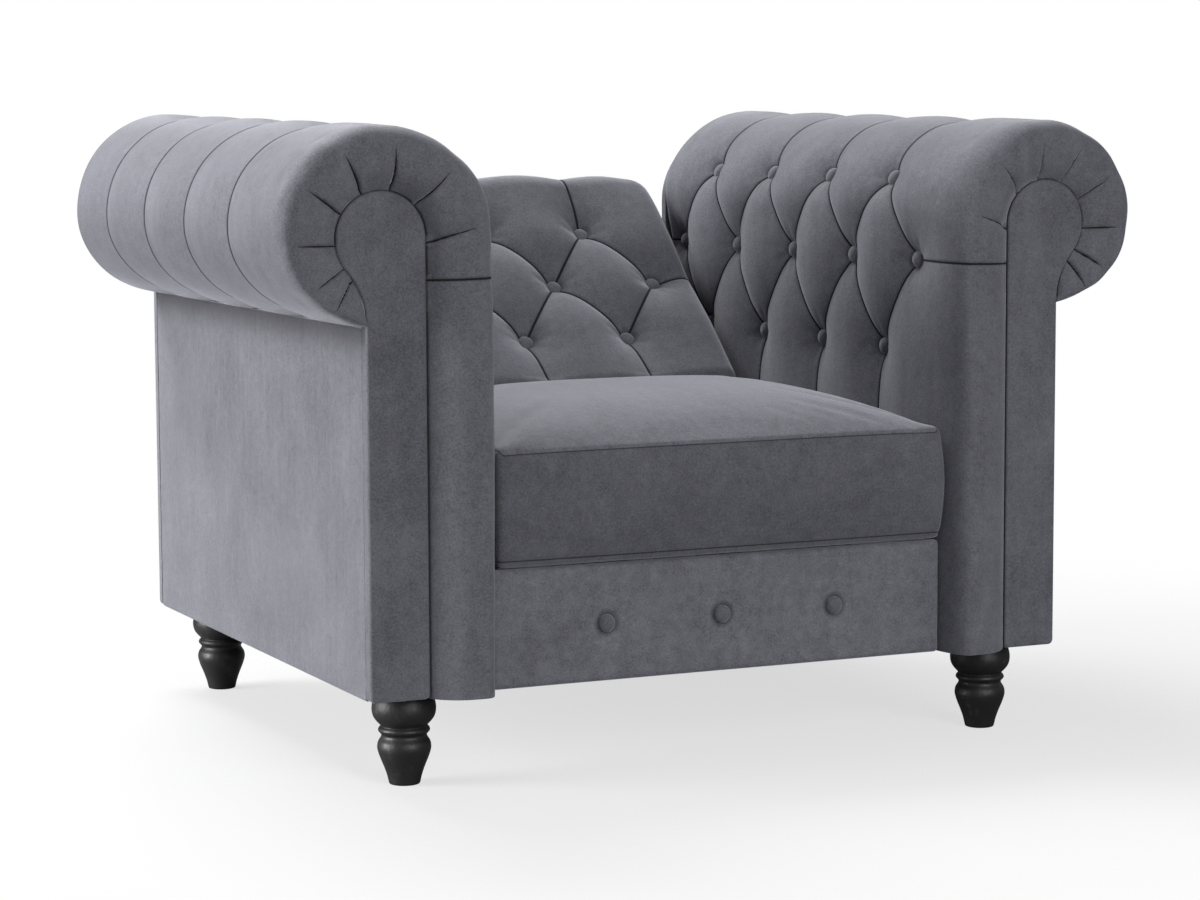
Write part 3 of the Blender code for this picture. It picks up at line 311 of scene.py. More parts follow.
def tidy_mesh(mesh):
    """Drops unused points, turns the faces outwards and shades them smooth."""
    builder = bmesh.new()
    builder.from_mesh(mesh)
    loose = [vertex for vertex in builder.verts if not vertex.link_faces]
    bmesh.ops.delete(builder, geom=loose, context="VERTS")
    bmesh.ops.recalc_face_normals(builder, faces=builder.faces)
    builder.to_mesh(mesh)
    builder.free()
    mesh.shade_smooth()
    mesh.set_sharp_from_angle(angle=SHARP_ANGLE)


def new_object(name, data):
    made = bpy.data.objects.new(name, data)
    bpy.context.scene.collection.objects.link(made)
    return made


def new_piece(name, points, faces, finish, body):
    """A closed, smooth-shaded piece that rides on a body, with its faces turned outwards."""
    mesh = bpy.data.meshes.new(name)
    mesh.from_pydata([tuple(point) for point in points], [], [[int(k) for k in face] for face in faces])
    piece = new_object(name, mesh)
    tidy_mesh(mesh)
    mesh.materials.append(finish.material)
    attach(piece, body)
    return piece


def grid_quads(index):
    """Faces between the neighbours in a grid of point numbers."""
    corners = index[:-1, :-1], index[1:, :-1], index[1:, 1:], index[:-1, 1:]
    return list(np.stack(corners, axis=2).reshape(-1, 4))


def loop_quads(loops):
    """Faces between closed loops of point numbers, each loop a row."""
    return grid_quads(np.concatenate([loops, loops[:, :1]], axis=1))


def stops(*marks):
    """Places along a line: each mark is (end, spacing) after a first mark that is just the start."""
    places = [marks[0]]
    for end, spacing in marks[1:]:
        steps = max(1, round(abs(end - places[-1]) / spacing))
        places += list(np.linspace(places[-1], end, steps + 1)[1:])
    return np.array(places)


def soft_fall(distance, radius):
    """How far a rounded edge has fallen away at a distance in from it."""
    short = np.clip(radius - distance, 0.0, radius)
    return radius - np.sqrt(np.maximum(radius**2 - short**2, 0.0))


BOARD_CORNER = 0.005
EDGE_STOPS = np.array([0.0, 0.06, 0.2, 0.45, 0.8, 1.3])  # mesh lines over a rounded edge, in radii


def covered_board(name, low, high, facing, round_edge, finish, body, relief=None, cell=0.012, to_world=None):
    """A padded board between two corners. Its front looks along facing (axis, sign) and has rounded edges."""
    axis, sign = facing
    across, up = [k for k in range(3) if k != axis]
    near = round_edge * EDGE_STOPS
    lines = []
    for k in (across, up):
        inside = stops(low[k] + near[-1], (high[k] - near[-1], cell))
        lines.append(np.concatenate([low[k] + near[:-1], inside, high[k] - near[-2::-1]]))
    a, b = np.meshgrid(lines[0], lines[1], indexing="ij")
    edge_a = np.minimum(a - low[across], high[across] - a)
    edge_b = np.minimum(b - low[up], high[up] - b)
    fall = np.maximum(soft_fall(edge_a, round_edge), soft_fall(edge_b, round_edge))
    if relief:
        fall = fall + relief(a, b)
    over_a = a - np.clip(a, low[across] + BOARD_CORNER, high[across] - BOARD_CORNER)
    over_b = b - np.clip(b, low[up] + BOARD_CORNER, high[up] - BOARD_CORNER)
    out = np.maximum(np.abs(over_a), np.abs(over_b)) / np.maximum(np.hypot(over_a, over_b), 1e-9)
    face, rear = (high[axis], low[axis]) if sign > 0 else (low[axis], high[axis])
    points = np.zeros((*a.shape, 3))
    points[..., across] = a - over_a * (1 - out)
    points[..., up] = b - over_b * (1 - out)
    points[..., axis] = face - sign * fall
    points = points.reshape(-1, 3)
    index = np.arange(a.size).reshape(a.shape)
    rim = np.array([*index[:-1, 0], *index[-1, :-1], *index[:0:-1, -1], *index[0, :0:-1]])
    behind = points[rim]
    behind[:, axis] = rear
    rear_rim = a.size + np.arange(len(rim))
    faces = grid_quads(index) + loop_quads(np.stack([rim, rear_rim])) + [rear_rim]
    points = np.concatenate([points, behind])
    return new_piece(name, to_world(points) if to_world else points, faces, finish, body)


PANEL_ROUND = 0.0025
PANEL_SHADE = colour(0.172, 0.172, 0.196)
PANEL_NAP = (150.0, 150.0, 9.0)
PANEL_CLOUDED = 0.7
ROLL_SHADOW_REACH = 0.06  # how far down the painted shadow below the roll reaches
ROLL_SHADOW_DARK = 0.75
panel_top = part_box("arm_right_outer_panel")[1].z


def painted_roll_shadow(finish):
    """Painted shadow just below the roll, where little light gets in."""
    height = finish.split(finish.place())[2]
    near = finish.between(height, panel_top - ROLL_SHADOW_REACH, panel_top)
    return 1.0 - ROLL_SHADOW_DARK * near * near


panel_velvet = velvet("panel_velvet", nap=PANEL_NAP, shade=PANEL_SHADE, clouded=PANEL_CLOUDED)
# The outer panels' velvet carries the painted shadow below the roll.
outer_velvet = velvet(
    "outer_velvet", nap=PANEL_NAP, shade=PANEL_SHADE, clouded=PANEL_CLOUDED, painted_shading=painted_roll_shadow
)
for word, side in SIDES:
    low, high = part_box(f"arm_{word}_outer_panel")
    cover_name = f"outer_panel_cover_{word}"
    panel = covered_board(cover_name, low, high, (0, side), PANEL_ROUND, outer_velvet, "base")
    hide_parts(f"arm_{word}_outer_panel")


# Rear panels and keyhole facings: boards cut to the arm's outline, wrapped in velvet and nailed over the raw
# ends of the padding. The facing has a round head inside the scroll and a concave neck below it.

front_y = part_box("arm_right_facing")[0].y
facing_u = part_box("arm_right_facing")[0].x
body_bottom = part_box("arm_right_facing")[0].z
outer_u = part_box("arm_right_outer_panel")[1].x
seat_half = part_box("arm_right_front_pad")[0].x
rear_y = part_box("arm_right_rear_panel")[0].y
HEAD_RADIUS = 0.0544
HEAD_DROP = 0.009  # centre of the roll down to the centre of the facing's head
NECK_ANGLE = math.radians(-40.0)
NECK_DROP = 0.091
ROLL_RISE = 0.121
ROLL_DROP = 0.110
ROLL_REACH = 0.1234
ROLL_END = math.radians(-82.5)
REAR_INSET = 0.010
CORNER_RADIUS = 0.0065
FACING_ROUND = 0.0035
head_u = facing_u + HEAD_RADIUS
head_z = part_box("arm_right_facing")[1].z - HEAD_RADIUS
roll_z = head_z + HEAD_DROP
roll_inward = head_u - seat_half


def roll_point(angle, inset=0.0):
    """(u, z) on the scroll's outline, where u is the distance from the middle of the chair."""
    reach = roll_inward if math.cos(angle) < 0 else ROLL_REACH
    rise = ROLL_RISE if math.sin(angle) > 0 else ROLL_DROP
    return np.array([head_u + (reach - inset) * math.cos(angle), roll_z + (rise - inset) * math.sin(angle)])


def head_point(angle):
    """(u, z) on the round head of the facing."""
    return np.array([head_u + HEAD_RADIUS * math.cos(angle), head_z + HEAD_RADIUS * math.sin(angle)])


def neck_point(share):
    """The facing's concave neck, from its head at 0 to its straight outer edge at 1."""
    start = head_point(NECK_ANGLE)
    run = (start[0] - outer_u) / math.sin(-NECK_ANGLE)
    bend = np.array([outer_u, start[1] - run * math.cos(NECK_ANGLE)])
    end = np.array([outer_u, head_z - NECK_DROP])
    return (1 - share) ** 2 * start + 2 * share * (1 - share) * bend + share**2 * end


def facing_edge(angle):
    """The point of the facing's edge that faces an angle of the scroll."""
    if angle >= NECK_ANGLE:
        return head_point(angle)
    return neck_point((NECK_ANGLE - angle) / (NECK_ANGLE - ROLL_END))


def inward(outline, distance):
    """An outline drawn in by a distance."""
    before, after = np.roll(outline, 1, axis=0), np.roll(outline, -1, axis=0)
    first, second = outline - before, after - outline
    first /= np.linalg.norm(first, axis=1, keepdims=True)
    second /= np.linalg.norm(second, axis=1, keepdims=True)
    bisector = (first + second) / np.maximum(1.0 + (first * second).sum(1, keepdims=True), 0.5)
    normal = np.stack([-bisector[:, 1], bisector[:, 0]], axis=1)
    area = (outline[:, 0] * after[:, 1] - outline[:, 1] * after[:, 0]).sum()
    return outline + math.copysign(distance, area) * normal


def covered_outline(name, outline, face_y, back_y, side, finish):
    """A wrapped board cut to an outline, with a rounded edge round its face."""
    toward = math.copysign(1.0, back_y - face_y)
    loops = [(outline, back_y)]
    for turn in np.linspace(0.0, math.pi / 2, 6):
        drawn = inward(outline, FACING_ROUND * (1 - math.cos(turn)))
        loops.append((drawn, face_y + toward * FACING_ROUND * (1 - math.sin(turn))))
    loops.append((inward(outline, EDGE_STOPS[-1] * FACING_ROUND), face_y))
    points = [(side * u, y, z) for loop, y in loops for u, z in loop]
    index = np.arange(len(points)).reshape(len(loops), -1)
    return new_piece(name, points, loop_quads(index) + [index[0], index[-1]], finish, "base")


def down_and_up(top, inner_u):
    """An arm's end board below its scroll: down its outside, round its lower corners and up its inside."""
    turns = np.linspace(0.0, math.pi / 2, 7)
    sweep = CORNER_RADIUS * np.stack([np.cos(turns), -np.sin(turns)], axis=1)
    low = body_bottom + CORNER_RADIUS
    line = [(outer_u, z) for z in stops(top, (low, 0.03))[1:-1]]
    line += [(outer_u - CORNER_RADIUS + u, low + z) for u, z in sweep]
    line += [(inner_u + CORNER_RADIUS - u, low + z) for u, z in sweep[::-1]]
    line += [(inner_u, z) for z in stops(low, (head_z, 0.03))[1:-1]]
    return [np.array(point) for point in line]


def painted_strip_shadow(finish):
    """Painted shadow on the facing's side below the roll, like that on the panel beside it."""
    depth = finish.split(finish.place())[1]
    strip = finish.between(depth, front_y + 0.5 * FACING_ROUND, front_y + 1.5 * FACING_ROUND)
    return 1.0 - strip * (1.0 - painted_roll_shadow(finish))


def facing_groove_shade(finish):
    """Painted shade along the facing's inner edge and over its head, in the groove where it is set into the
    padding.
    """
    across, _, height = finish.split(finish.place())
    out = abs(across) - head_u
    above = out.math("MAXIMUM", height - head_z, 0.0)
    inset = HEAD_RADIUS - out.math("SQRT", out * out + above * above)
    line = finish.between(inset, 0.0004, 0.0018, 0.75, 0.0)
    return line, finish.between(inset, 0.0, 0.004, 0.8, 0.0)


facing_velvet = velvet("facing_velvet", facing_groove_shade, nap=(45.0, 45.0, 4.0), clouded=0.9, painted_shading=painted_strip_shadow)
edge_turns = np.linspace(math.pi, ROLL_END, 72)
facing_shape = [facing_edge(angle) for angle in edge_turns]
facing_shape += down_and_up(facing_shape[-1][1], facing_u)
rear_shape = [roll_point(angle, REAR_INSET) for angle in edge_turns]
rear_top = rear_shape[-1][1]
rear_shape += [np.array([outer_u, rear_top])] + down_and_up(rear_top, seat_half + REAR_INSET)
for word, side in SIDES:
    low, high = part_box(f"arm_{word}_facing")
    shape = np.array(facing_shape)
    facing = covered_outline(f"facing_cover_{word}", shape, low.y, high.y, side, facing_velvet)
    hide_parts(f"arm_{word}_facing")
    low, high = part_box(f"arm_{word}_rear_panel")
    shape = np.array(rear_shape)
    panel = covered_outline(f"rear_panel_cover_{word}", shape, high.y, low.y, side, panel_velvet)
    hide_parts(f"arm_{word}_rear_panel")


# Arm padding: foam and wadding under one width of velvet, drawn down to the frame by deep buttons in
# diamonds. It runs up the inside and over the scroll, and round the front edge to the facing in small pleats.

SEAM_SHARE = 0.55  # depth of a seam, as a share of a button's depth
SEAM_SOFT = 0.05  # rounding of the bottom of a seam
SEAM_FADE = 0.11  # how far a seam runs on before it is at its lesser depth
SEAM_LINE = 0.0017  # about half the width of a seam's dark line
PLEAT_FINE = 1.2  # a pleat's line is this much finer than a seam's
BUTTON_RADIUS = 0.0108
BUTTON_SPREAD = 0.024
PUCKER = 0.00035  # height of the small folds round a button, and the ring that they lie in
PUCKER_RING = 0.024
PUCKER_WIDTH = 0.013


def smooth_step(share):
    """0 to 1 with soft ends as the share goes from 0 to 1."""
    share = np.clip(share, 0.0, 1.0)
    return share * share * (3 - 2 * share)


def button_shade(finish, distance):
    """Painted shade in a dark ring where a button's rim meets the cover."""
    return finish.between(distance, BUTTON_RADIUS, 1.7 * BUTTON_RADIUS, 1.0, 0.0)


class Buttoning:
    """Three rows of buttons joined by seams in diamonds. The seams run on past the outer rows and columns."""

    def __init__(self, first, columns, pitch, middle, row, depth):
        self.first = first
        self.columns = columns
        self.pitch = pitch
        self.middle = middle
        self.row = row
        self.depth = depth

    def places(self):
        found = [(self.first + k * self.pitch, self.middle) for k in range(self.columns)]
        for k in range(self.columns - 1):
            across = self.first + (k + 0.5) * self.pitch
            found += [(across, self.middle - self.row), (across, self.middle + self.row)]
        return found

    def drawn_in(self, across, along, keeps):
        """How deep the cover lies below the pillows' tops.

        The keeps say how much of a seam is left further on: below, above and beside the buttons.
        """
        step = (across - self.first) / self.pitch
        rise = (along - self.middle) / self.row
        inner_step = np.clip(step, 0.0, self.columns - 1)
        inner_rise = np.clip(rise, -1.0, 1.0)
        first = np.sqrt(np.sin(math.pi * (inner_step + inner_rise / 2)) ** 2 + SEAM_SOFT**2)
        second = np.sqrt(np.sin(math.pi * (inner_step - inner_rise / 2)) ** 2 + SEAM_SOFT**2)
        groove = SEAM_SHARE * (1.0 - np.minimum(np.sqrt(first * second), 1.0))
        below = np.clip(-1.0 - rise, 0.0, None) * self.row
        above = np.clip(rise - 1.0, 0.0, None) * self.row
        beside = np.abs(step - inner_step) * self.pitch
        for distance, keep in zip((below, above, beside), keeps):
            groove = groove * (1.0 + (keep - 1.0) * smooth_step(distance / SEAM_FADE))
        near = self.nearest(across, along)
        pull = (1.0 - SEAM_SHARE) * np.exp(-((near / BUTTON_SPREAD) ** 1.5))
        return self.depth * (groove + pull) + self.puckers(across, along, near)

    def puckers(self, across, along, near):
        """Small folds that run out from each button."""
        folds = np.zeros(across.shape)
        for k, place in enumerate(self.places()):
            here = np.hypot(across - place[0], along - place[1])
            turn = np.arctan2(along - place[1], across - place[0])
            waves = np.cos(9 * turn + 2.4 * k) + 0.6 * np.cos(5 * turn - 1.1 * k)
            folds += (here <= near) * waves
        return PUCKER * folds * np.exp(-(((near - PUCKER_RING) / PUCKER_WIDTH) ** 2))

    def nearest(self, across, along):
        """Distance to the nearest button."""
        return np.min([np.hypot(across - place[0], along - place[1]) for place in self.places()], axis=0)

    def lines(self, finish):
        """Shader masks of the seam lines and of the creases beside them and round the buttons, from the
        cover's attributes: where shade is painted.
        """
        across, along, past_pleat = finish.split(finish.attribute("flat"))
        step = (across - self.first) * (1 / self.pitch)
        rise = (along - self.middle) * (1 / self.row)
        scale = 1 / math.hypot(1 / self.pitch, 0.5 / self.row)
        first = step.math("PINGPONG", step + 0.5 * rise, 0.5)
        second = step.math("PINGPONG", step - 0.5 * rise, 0.5)
        diagonal = step.math("MINIMUM", first, second) * scale
        upright = step.math("PINGPONG", step + 0.5, 0.5) * self.pitch
        level = abs(rise) * self.row
        in_rows = step.math("LESS_THAN", abs(rise), 1.0)
        half = (self.columns - 1) / 2
        in_columns = step.math("LESS_THAN", abs(step - half), half)
        inside = in_rows * diagonal + (1 - in_rows) * upright
        distance = in_columns * inside + (1 - in_columns) * (PLEAT_FINE * level)
        count, spacing, button = finish.split(finish.attribute("marks"))
        pleat = step.math("PINGPONG", count, 0.5) * spacing + past_pleat
        distance = step.math("MINIMUM", distance, PLEAT_FINE * pleat)
        line = finish.between(distance, 0.5 * SEAM_LINE, 1.2 * SEAM_LINE, 1.0, 0.0)
        crease = finish.between(distance, 0.0, 3.0 * SEAM_LINE, 1.0, 0.0)
        return line, step.math("MAXIMUM", crease, button_shade(finish, button))


CLEAR = 0.0003  # between neighbouring pieces
ARM_COLUMNS = 5
ARM_FIRST = 0.1015  # facing's front to the first button column
ARM_LAST = 0.0455  # last button column to the rear panel
ARM_ROW = 0.113
ARM_ROW_DROP = 0.055
ARM_DEPTH = 0.026
ARM_KEEPS = (0.75, 0.42, 0.16)
RIPPLE = 0.0006
PAD_THICKNESS = 0.0545
EDGE_RADIUS = 0.0265  # front edge of the roll: tighter on its outside by the swing, softer on its inside
EDGE_SWING = 0.0095
EDGE_SQUARE = 0.85  # below 1, the front edge is squarer than a quarter circle
FRONT_BULGE = 0.026
FULL_RING = 0.075  # width of the ring from which it has its full bulge
BAND_TIGHTER = 0.012  # the front edge is this much tighter on the upright band than on the roll
BAND_RUN = 0.08  # height over which the roll's front passes into the band
BAND_START = 0.0325  # facing's front back to where the front edge starts to turn
FLARE = 0.0030  # the band opens outwards to its front, and more so towards its foot
FLARE_LOW = 0.0030
FLARE_RUN = 0.09
TUCK = 0.0022  # where the padding meets the facing, behind the facing's front
PLEATS = (  # distances along the roll from its inner side: at the facing, and where the pleat runs out
    (-0.0066, 0.0072), (0.0918, 0.1006), (0.1770, 0.1910), (0.2576, 0.2636),
    (0.3330, 0.3350), (0.4130, 0.4138), (0.4710, 0.4786), (0.4936, 0.5166),
)
PLEAT_REACH = 0.50  # share of the ring that a pleat crosses
PLEAT_COMES = 0.25  # share of the ring over which it deepens
PLEAT_DEPTH = 0.0055
PLEAT_LAP = 0.0090  # a pleat falls gently on one side and steeply on the other
PLEAT_UNDER = 0.0028
PLEAT_MARGIN = 0.03  # along the roll, before the first pleat and after the last
PLEAT_CLEAR = 0.01  # added to the distance from a pleat past its end, which ends its line
SCALLOP = 0.0018  # each pleat also draws the front edge in, softly
SCALLOP_WIDTH = 0.016
SCALLOP_RUN = 0.022
REAR_ROUND = 0.015  # rear edge of the roll: softer on its inside by the swing, tighter on its outside
REAR_ROUND_SWING = 0.006
ROLL_REAR_SPREAD = 0.004
ROLL_FRONT_DIP = -0.003  # the roll's crest rises a little from its front to its rear
ROLL_REAR_LIFT = 0.007
arm_span = rear_y - front_y
arm_pitch = (arm_span - ARM_LAST - ARM_FIRST) / (ARM_COLUMNS - 1)
arm_buttons = Buttoning(ARM_FIRST, ARM_COLUMNS, arm_pitch, roll_z - ARM_ROW_DROP, ARM_ROW, ARM_DEPTH)
core_radius = head_u - seat_half - PAD_THICKNESS
roll_turns = np.linspace(math.pi, ROLL_END, 2000)
roll_steps = np.diff([roll_point(angle) for angle in roll_turns], axis=0)
roll_travel = np.concatenate([[0.0], np.cumsum(np.linalg.norm(roll_steps, axis=1))])
pad_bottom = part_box("arm_right_pad")[0].z


def arm_stations():
    """Places up the arm: Z on the upright wall, carried on as the distance along the roll."""
    low = arm_buttons.middle - ARM_ROW - 0.02
    high = arm_buttons.middle + ARM_ROW + 0.02
    end = roll_z + roll_travel[-1]
    return stops(body_bottom, (pad_bottom, 0.010), (low, 0.0045), (high, 0.0027), (end, 0.0026))


def arm_section(station):
    """At a station: outline point, facing's edge and frame behind, all (u, z), and the roll's angle."""
    if station <= roll_z:
        frame_u = seat_half + PAD_THICKNESS
        edge_z = station - HEAD_DROP * smooth_step(1.0 - (roll_z - station) / BAND_RUN)
        points = (seat_half, station), (facing_u, edge_z), (frame_u, station)
        return *(np.array(point) for point in points), math.pi
    angle = float(np.interp(station - roll_z, roll_travel, roll_turns))
    edge, outline = facing_edge(angle), roll_point(angle)
    centre = np.array([head_u, head_z])
    core = centre + core_radius * np.array([math.cos(angle), math.sin(angle)])
    held = edge + 0.15 * (outline - edge)
    behind = max((core, held), key=lambda point: np.linalg.norm(point - centre))
    return outline, edge, behind, angle


def front_turn(width, angle, drop):
    """The front edge's profile: shares of the way from the outline to the facing, and Y from its front."""
    swing = math.cos(angle)
    tight = BAND_TIGHTER * min(1.0, drop / BAND_RUN)
    outer = min(EDGE_RADIUS - EDGE_SWING * swing - tight, 0.42 * width)
    bulge = FRONT_BULGE * (0.68 - 0.32 * swing) * min(1.0, width / FULL_RING)
    start = BAND_START * (0.75 - 0.25 * swing)
    turn = np.linspace(0.0, math.pi / 2, 15)[1:]
    shares = [0.0, *outer * (1 - np.cos(turn) ** EDGE_SQUARE) / width]
    depths = [0.5 * (BAND_START + start), *start - (start + bulge) * np.sin(turn) ** EDGE_SQUARE]
    run = np.linspace(0.0, 1.0, 16)[1:]
    shares += list((outer + (width - outer) * run) / width)
    depths += list(-bulge * (1 - run**3.2) + TUCK * run**2)
    return np.array(shares), np.array(depths)


def grid_normals(points):
    """Unit normals of a grid of points."""
    first = np.gradient(points, axis=0)
    second = np.gradient(points, axis=1)
    normals = np.cross(first, second)
    return normals / np.maximum(np.linalg.norm(normals, axis=2, keepdims=True), 1e-12)


def ripple(a, b):
    """Gentle unevenness of hand-laid wadding, up to about 1 either way."""
    return (
        np.sin(31 * a + 17 * b + 0.7) + np.sin(-23 * a + 41 * b + 2.1)
        + np.sin(57 * a - 29 * b + 4.0) + np.sin(71 * b + 13 * a + 1.3)
    ) / 4


def pleat_count(stations, ring_share):
    """A running count over the ring that is whole on every pleat, and the metres from each to the next."""
    here = stations[:, None] - roll_z
    run = (1 - ring_share) / PLEAT_REACH
    lines = [near + (far - near) * run for near, far in PLEATS]
    lines = [lines[0] - PLEAT_MARGIN, *lines, lines[-1] + PLEAT_MARGIN]
    count, spacing = np.full(ring_share.shape, -0.5), np.ones(ring_share.shape)
    for k, (first, second) in enumerate(zip(lines, lines[1:])):
        step = 0.5 if k in (0, len(PLEATS)) else 1.0
        count += step * np.clip((here - first) / (second - first), 0.0, 1.0)
        spacing = np.where((here >= first) & (here < second), (second - first) / step, spacing)
    return count, spacing


def set_attribute(mesh, name, values):
    """Gives each point of a mesh a number, or a vector where the values have rows of three."""
    kind, field = ("FLOAT", "value") if values.ndim == 1 else ("FLOAT_VECTOR", "vector")
    mesh.attributes.new(name, kind, "POINT").data.foreach_set(field, values.astype(np.float32).ravel())


def arm_cover():
    """Outer surface of the right arm's padding as a grid of points, with their flat places and seam marks."""
    stations = arm_stations()
    depths = stops(arm_span - CLEAR, (arm_span - 0.036, 0.0024), (BAND_START, 0.0028))
    sections = [arm_section(station) for station in stations]
    along = np.gradient(np.array([section[0] for section in sections]), axis=0)
    normal = np.stack([-along[:, 1], along[:, 0]], axis=1)
    normal /= np.linalg.norm(normal, axis=1, keepdims=True)
    rows = []
    for (point, edge, _, angle), outward in zip(sections, normal):
        fall = soft_fall(arm_span - depths, REAR_ROUND - REAR_ROUND_SWING * math.cos(angle))
        fall = fall - ROLL_REAR_SPREAD * max(math.cos(angle), 0.0) * depths / arm_span
        wall = point[0] - outward[0] * fall, front_y + depths, point[1] - outward[1] * fall
        to_edge = edge - point
        shares, turn = front_turn(np.linalg.norm(to_edge), angle, max(0.0, roll_z - point[1]))
        ring = point[0] + to_edge[0] * shares, front_y + turn, point[1] + to_edge[1] * shares
        rows.append(np.concatenate([np.stack(wall, axis=1), np.stack(ring, axis=1)]))
    points = np.array(rows)
    inner = np.array([max(0.0, -math.cos(section[3])) for section in sections])[:, None]
    to_facing = np.clip((points[..., 0] - seat_half) / (facing_u - seat_half), 0.0, 1.0)
    low = np.clip((roll_z - points[..., 2]) / (roll_z - body_bottom), 0.0, 1.0)
    ahead = smooth_step(1.0 - (points[..., 1] - front_y) / FLARE_RUN)
    points[..., 0] += (FLARE + FLARE_LOW * low) * inner * ahead * (1 - to_facing)
    share = np.clip((points[..., 1] - front_y) / arm_span, 0.0, 1.0)
    height = np.clip((points[..., 2] - roll_z) / ROLL_RISE, 0.0, 1.0)
    points[..., 2] += height * (ROLL_FRONT_DIP + (ROLL_REAR_LIFT - ROLL_FRONT_DIP) * share)
    travel = np.cumsum(np.linalg.norm(np.diff(points[:, len(depths) - 1:], axis=1), axis=2), axis=1)
    flat_y = np.concatenate([np.tile(depths, (len(stations), 1)), BAND_START - travel], axis=1)
    flat_s = np.tile(stations[:, None], (1, points.shape[1]))
    sink = arm_buttons.drawn_in(flat_y, flat_s, ARM_KEEPS)
    ring_share = np.concatenate([np.zeros((len(stations), len(depths))), travel / travel[:, -1:]], axis=1)
    reach = np.clip((ring_share - (1 - PLEAT_REACH)) / PLEAT_COMES, 0.0, 1.0)
    count, spacing = pleat_count(stations, ring_share)
    beside = (count - np.round(count)) * spacing
    sink += PLEAT_DEPTH * reach * np.exp(-np.abs(beside) / np.where(beside > 0, PLEAT_LAP, PLEAT_UNDER))
    on_edge = np.exp(-np.clip(flat_y - BAND_START, 0.0, None) / SCALLOP_RUN) * (1 - ring_share)
    sink += SCALLOP * on_edge * np.exp(-((beside / SCALLOP_WIDTH) ** 2)) * (flat_s > roll_z)
    sink += RIPPLE * ripple(flat_y, flat_s)
    sink[:, -1] = 0.0
    normals = grid_normals(points)
    if normals[len(stations) // 4, len(depths) // 2, 0] > 0:
        normals = -normals
    # Painted shade near the facing's edge, carried with the distance to the nearest button.
    facing_shade_reach = BUTTON_RADIUS + 2.5 * (1 - ring_share) * travel[:, -1:]
    shaded = np.minimum(arm_buttons.nearest(flat_y, flat_s), facing_shade_reach)
    marks = np.stack([count, spacing / np.maximum(reach, 0.03), shaded], axis=2)
    past_pleat = PLEAT_CLEAR * (1 - np.clip(reach / 0.05, 0.0, 1.0))
    flat = np.stack([flat_y, flat_s, past_pleat], axis=2)
    return stations, sections, points - normals * sink[..., None], flat, marks, len(depths) - 1


def arm_faces(rows, columns, turn_column, wall_row):
    """Faces of the cover, its back and its ends. Below wall_row only the front band goes on to the bottom.

    Each row has the cover's columns, then the facing's back edge, the frame's front and its rear.
    """
    index = np.arange(rows * columns).reshape(rows, columns)
    upper = index[wall_row:]
    lower = index[:wall_row + 1, turn_column:-1]
    ledge = index[wall_row, [*range(turn_column + 1), -2, -1]]
    return loop_quads(upper) + loop_quads(lower) + [lower[0], upper[-1], ledge]


ARM_SHADE = colour(0.158, 0.160, 0.185)
ARM_NAP = (40.0, 40.0, 6.0)
HIDDEN_FLAT = 9.0  # flat place and marks of hidden points, far from every seam
HIDDEN_MARK = 0.5
arm_velvet = velvet("arm_velvet", arm_buttons.lines, nap=ARM_NAP, shade=ARM_SHADE, sheen=0.5)
facing_back_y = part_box("arm_right_facing")[1].y
stations, sections, cover, flat, marks, turn_column = arm_cover()
behind = np.array([
    [
        (edge[0], facing_back_y, edge[1]),
        (held[0], front_y + BAND_START, held[1]),
        (held[0], rear_y - CLEAR, held[1]),
    ]
    for _, edge, held, _ in sections
])
arm_points = np.concatenate([cover, behind], axis=1)
arm_flat = np.concatenate([flat, np.full(behind.shape, HIDDEN_FLAT)], axis=1).reshape(-1, 3)
arm_marks = np.concatenate([marks, np.full(behind.shape, HIDDEN_MARK)], axis=1).reshape(-1, 3)
wall_row = int(np.argmin(np.abs(stations - pad_bottom)))
faces = arm_faces(*arm_points.shape[:2], turn_column, wall_row)
arm_points = arm_points.reshape(-1, 3)
used = np.zeros(len(arm_points), bool)
used[np.concatenate(faces)] = True
renumber = np.cumsum(used) - 1
faces = [renumber[face] for face in faces]
for word, side in SIDES:
    pad = new_piece(f"arm_padding_{word}", arm_points[used] * (side, 1, 1), faces, arm_velvet, "base")
    set_attribute(pad.data, "flat", arm_flat[used])
    set_attribute(pad.data, "marks", arm_marks[used])
    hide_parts(f"arm_{word}_pad", f"arm_{word}_front_pad")


# Front panel and wrapped rails: a board below the cushion under thin wadding and velvet, with three buttons
# that pull shallow dimples into it. The seat's front and rear rails and the arms' base rails show past the
# cushion and the arm padding, so velvet is stapled round them.

FRONT_BUTTONS = [f"front_button_{word}" for word in ("left", "middle", "right")]
FRONT_ROUND = 0.007
FRONT_RIPPLE = 0.0004
FRONT_SHADE = colour(0.182, 0.184, 0.212)
DIMPLE_DEPTH = 0.0080
DIMPLE_SPREAD = 0.022
FRONT_STAND = 0.003  # middle of a front button above the bottom of its dimple
PANEL_REACH = 0.0030  # the padding at the panel's ends, up to the arms' bands
WRAP_ROUND = 0.003
WRAPPED_RAILS = {  # the axis and side that each rail's covered face looks along
    "seat_front_rail": (2, 1),
    "seat_rear_rail": (1, 1),
    "arm_left_base_rail": (0, 1),
    "arm_right_base_rail": (0, -1),
}
button_centres = [sum(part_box(name), Vector()) / 2 for name in FRONT_BUTTONS]


def points_of(mesh):
    return np.array([vertex.co for vertex in mesh.vertices])


def dimples(x, z):
    sink = FRONT_RIPPLE * ripple(x, z)
    for centre in button_centres:
        distance = np.hypot(x - centre.x, z - centre.z)
        sink = sink + DIMPLE_DEPTH * np.exp(-((distance / DIMPLE_SPREAD) ** 1.6))
    return sink


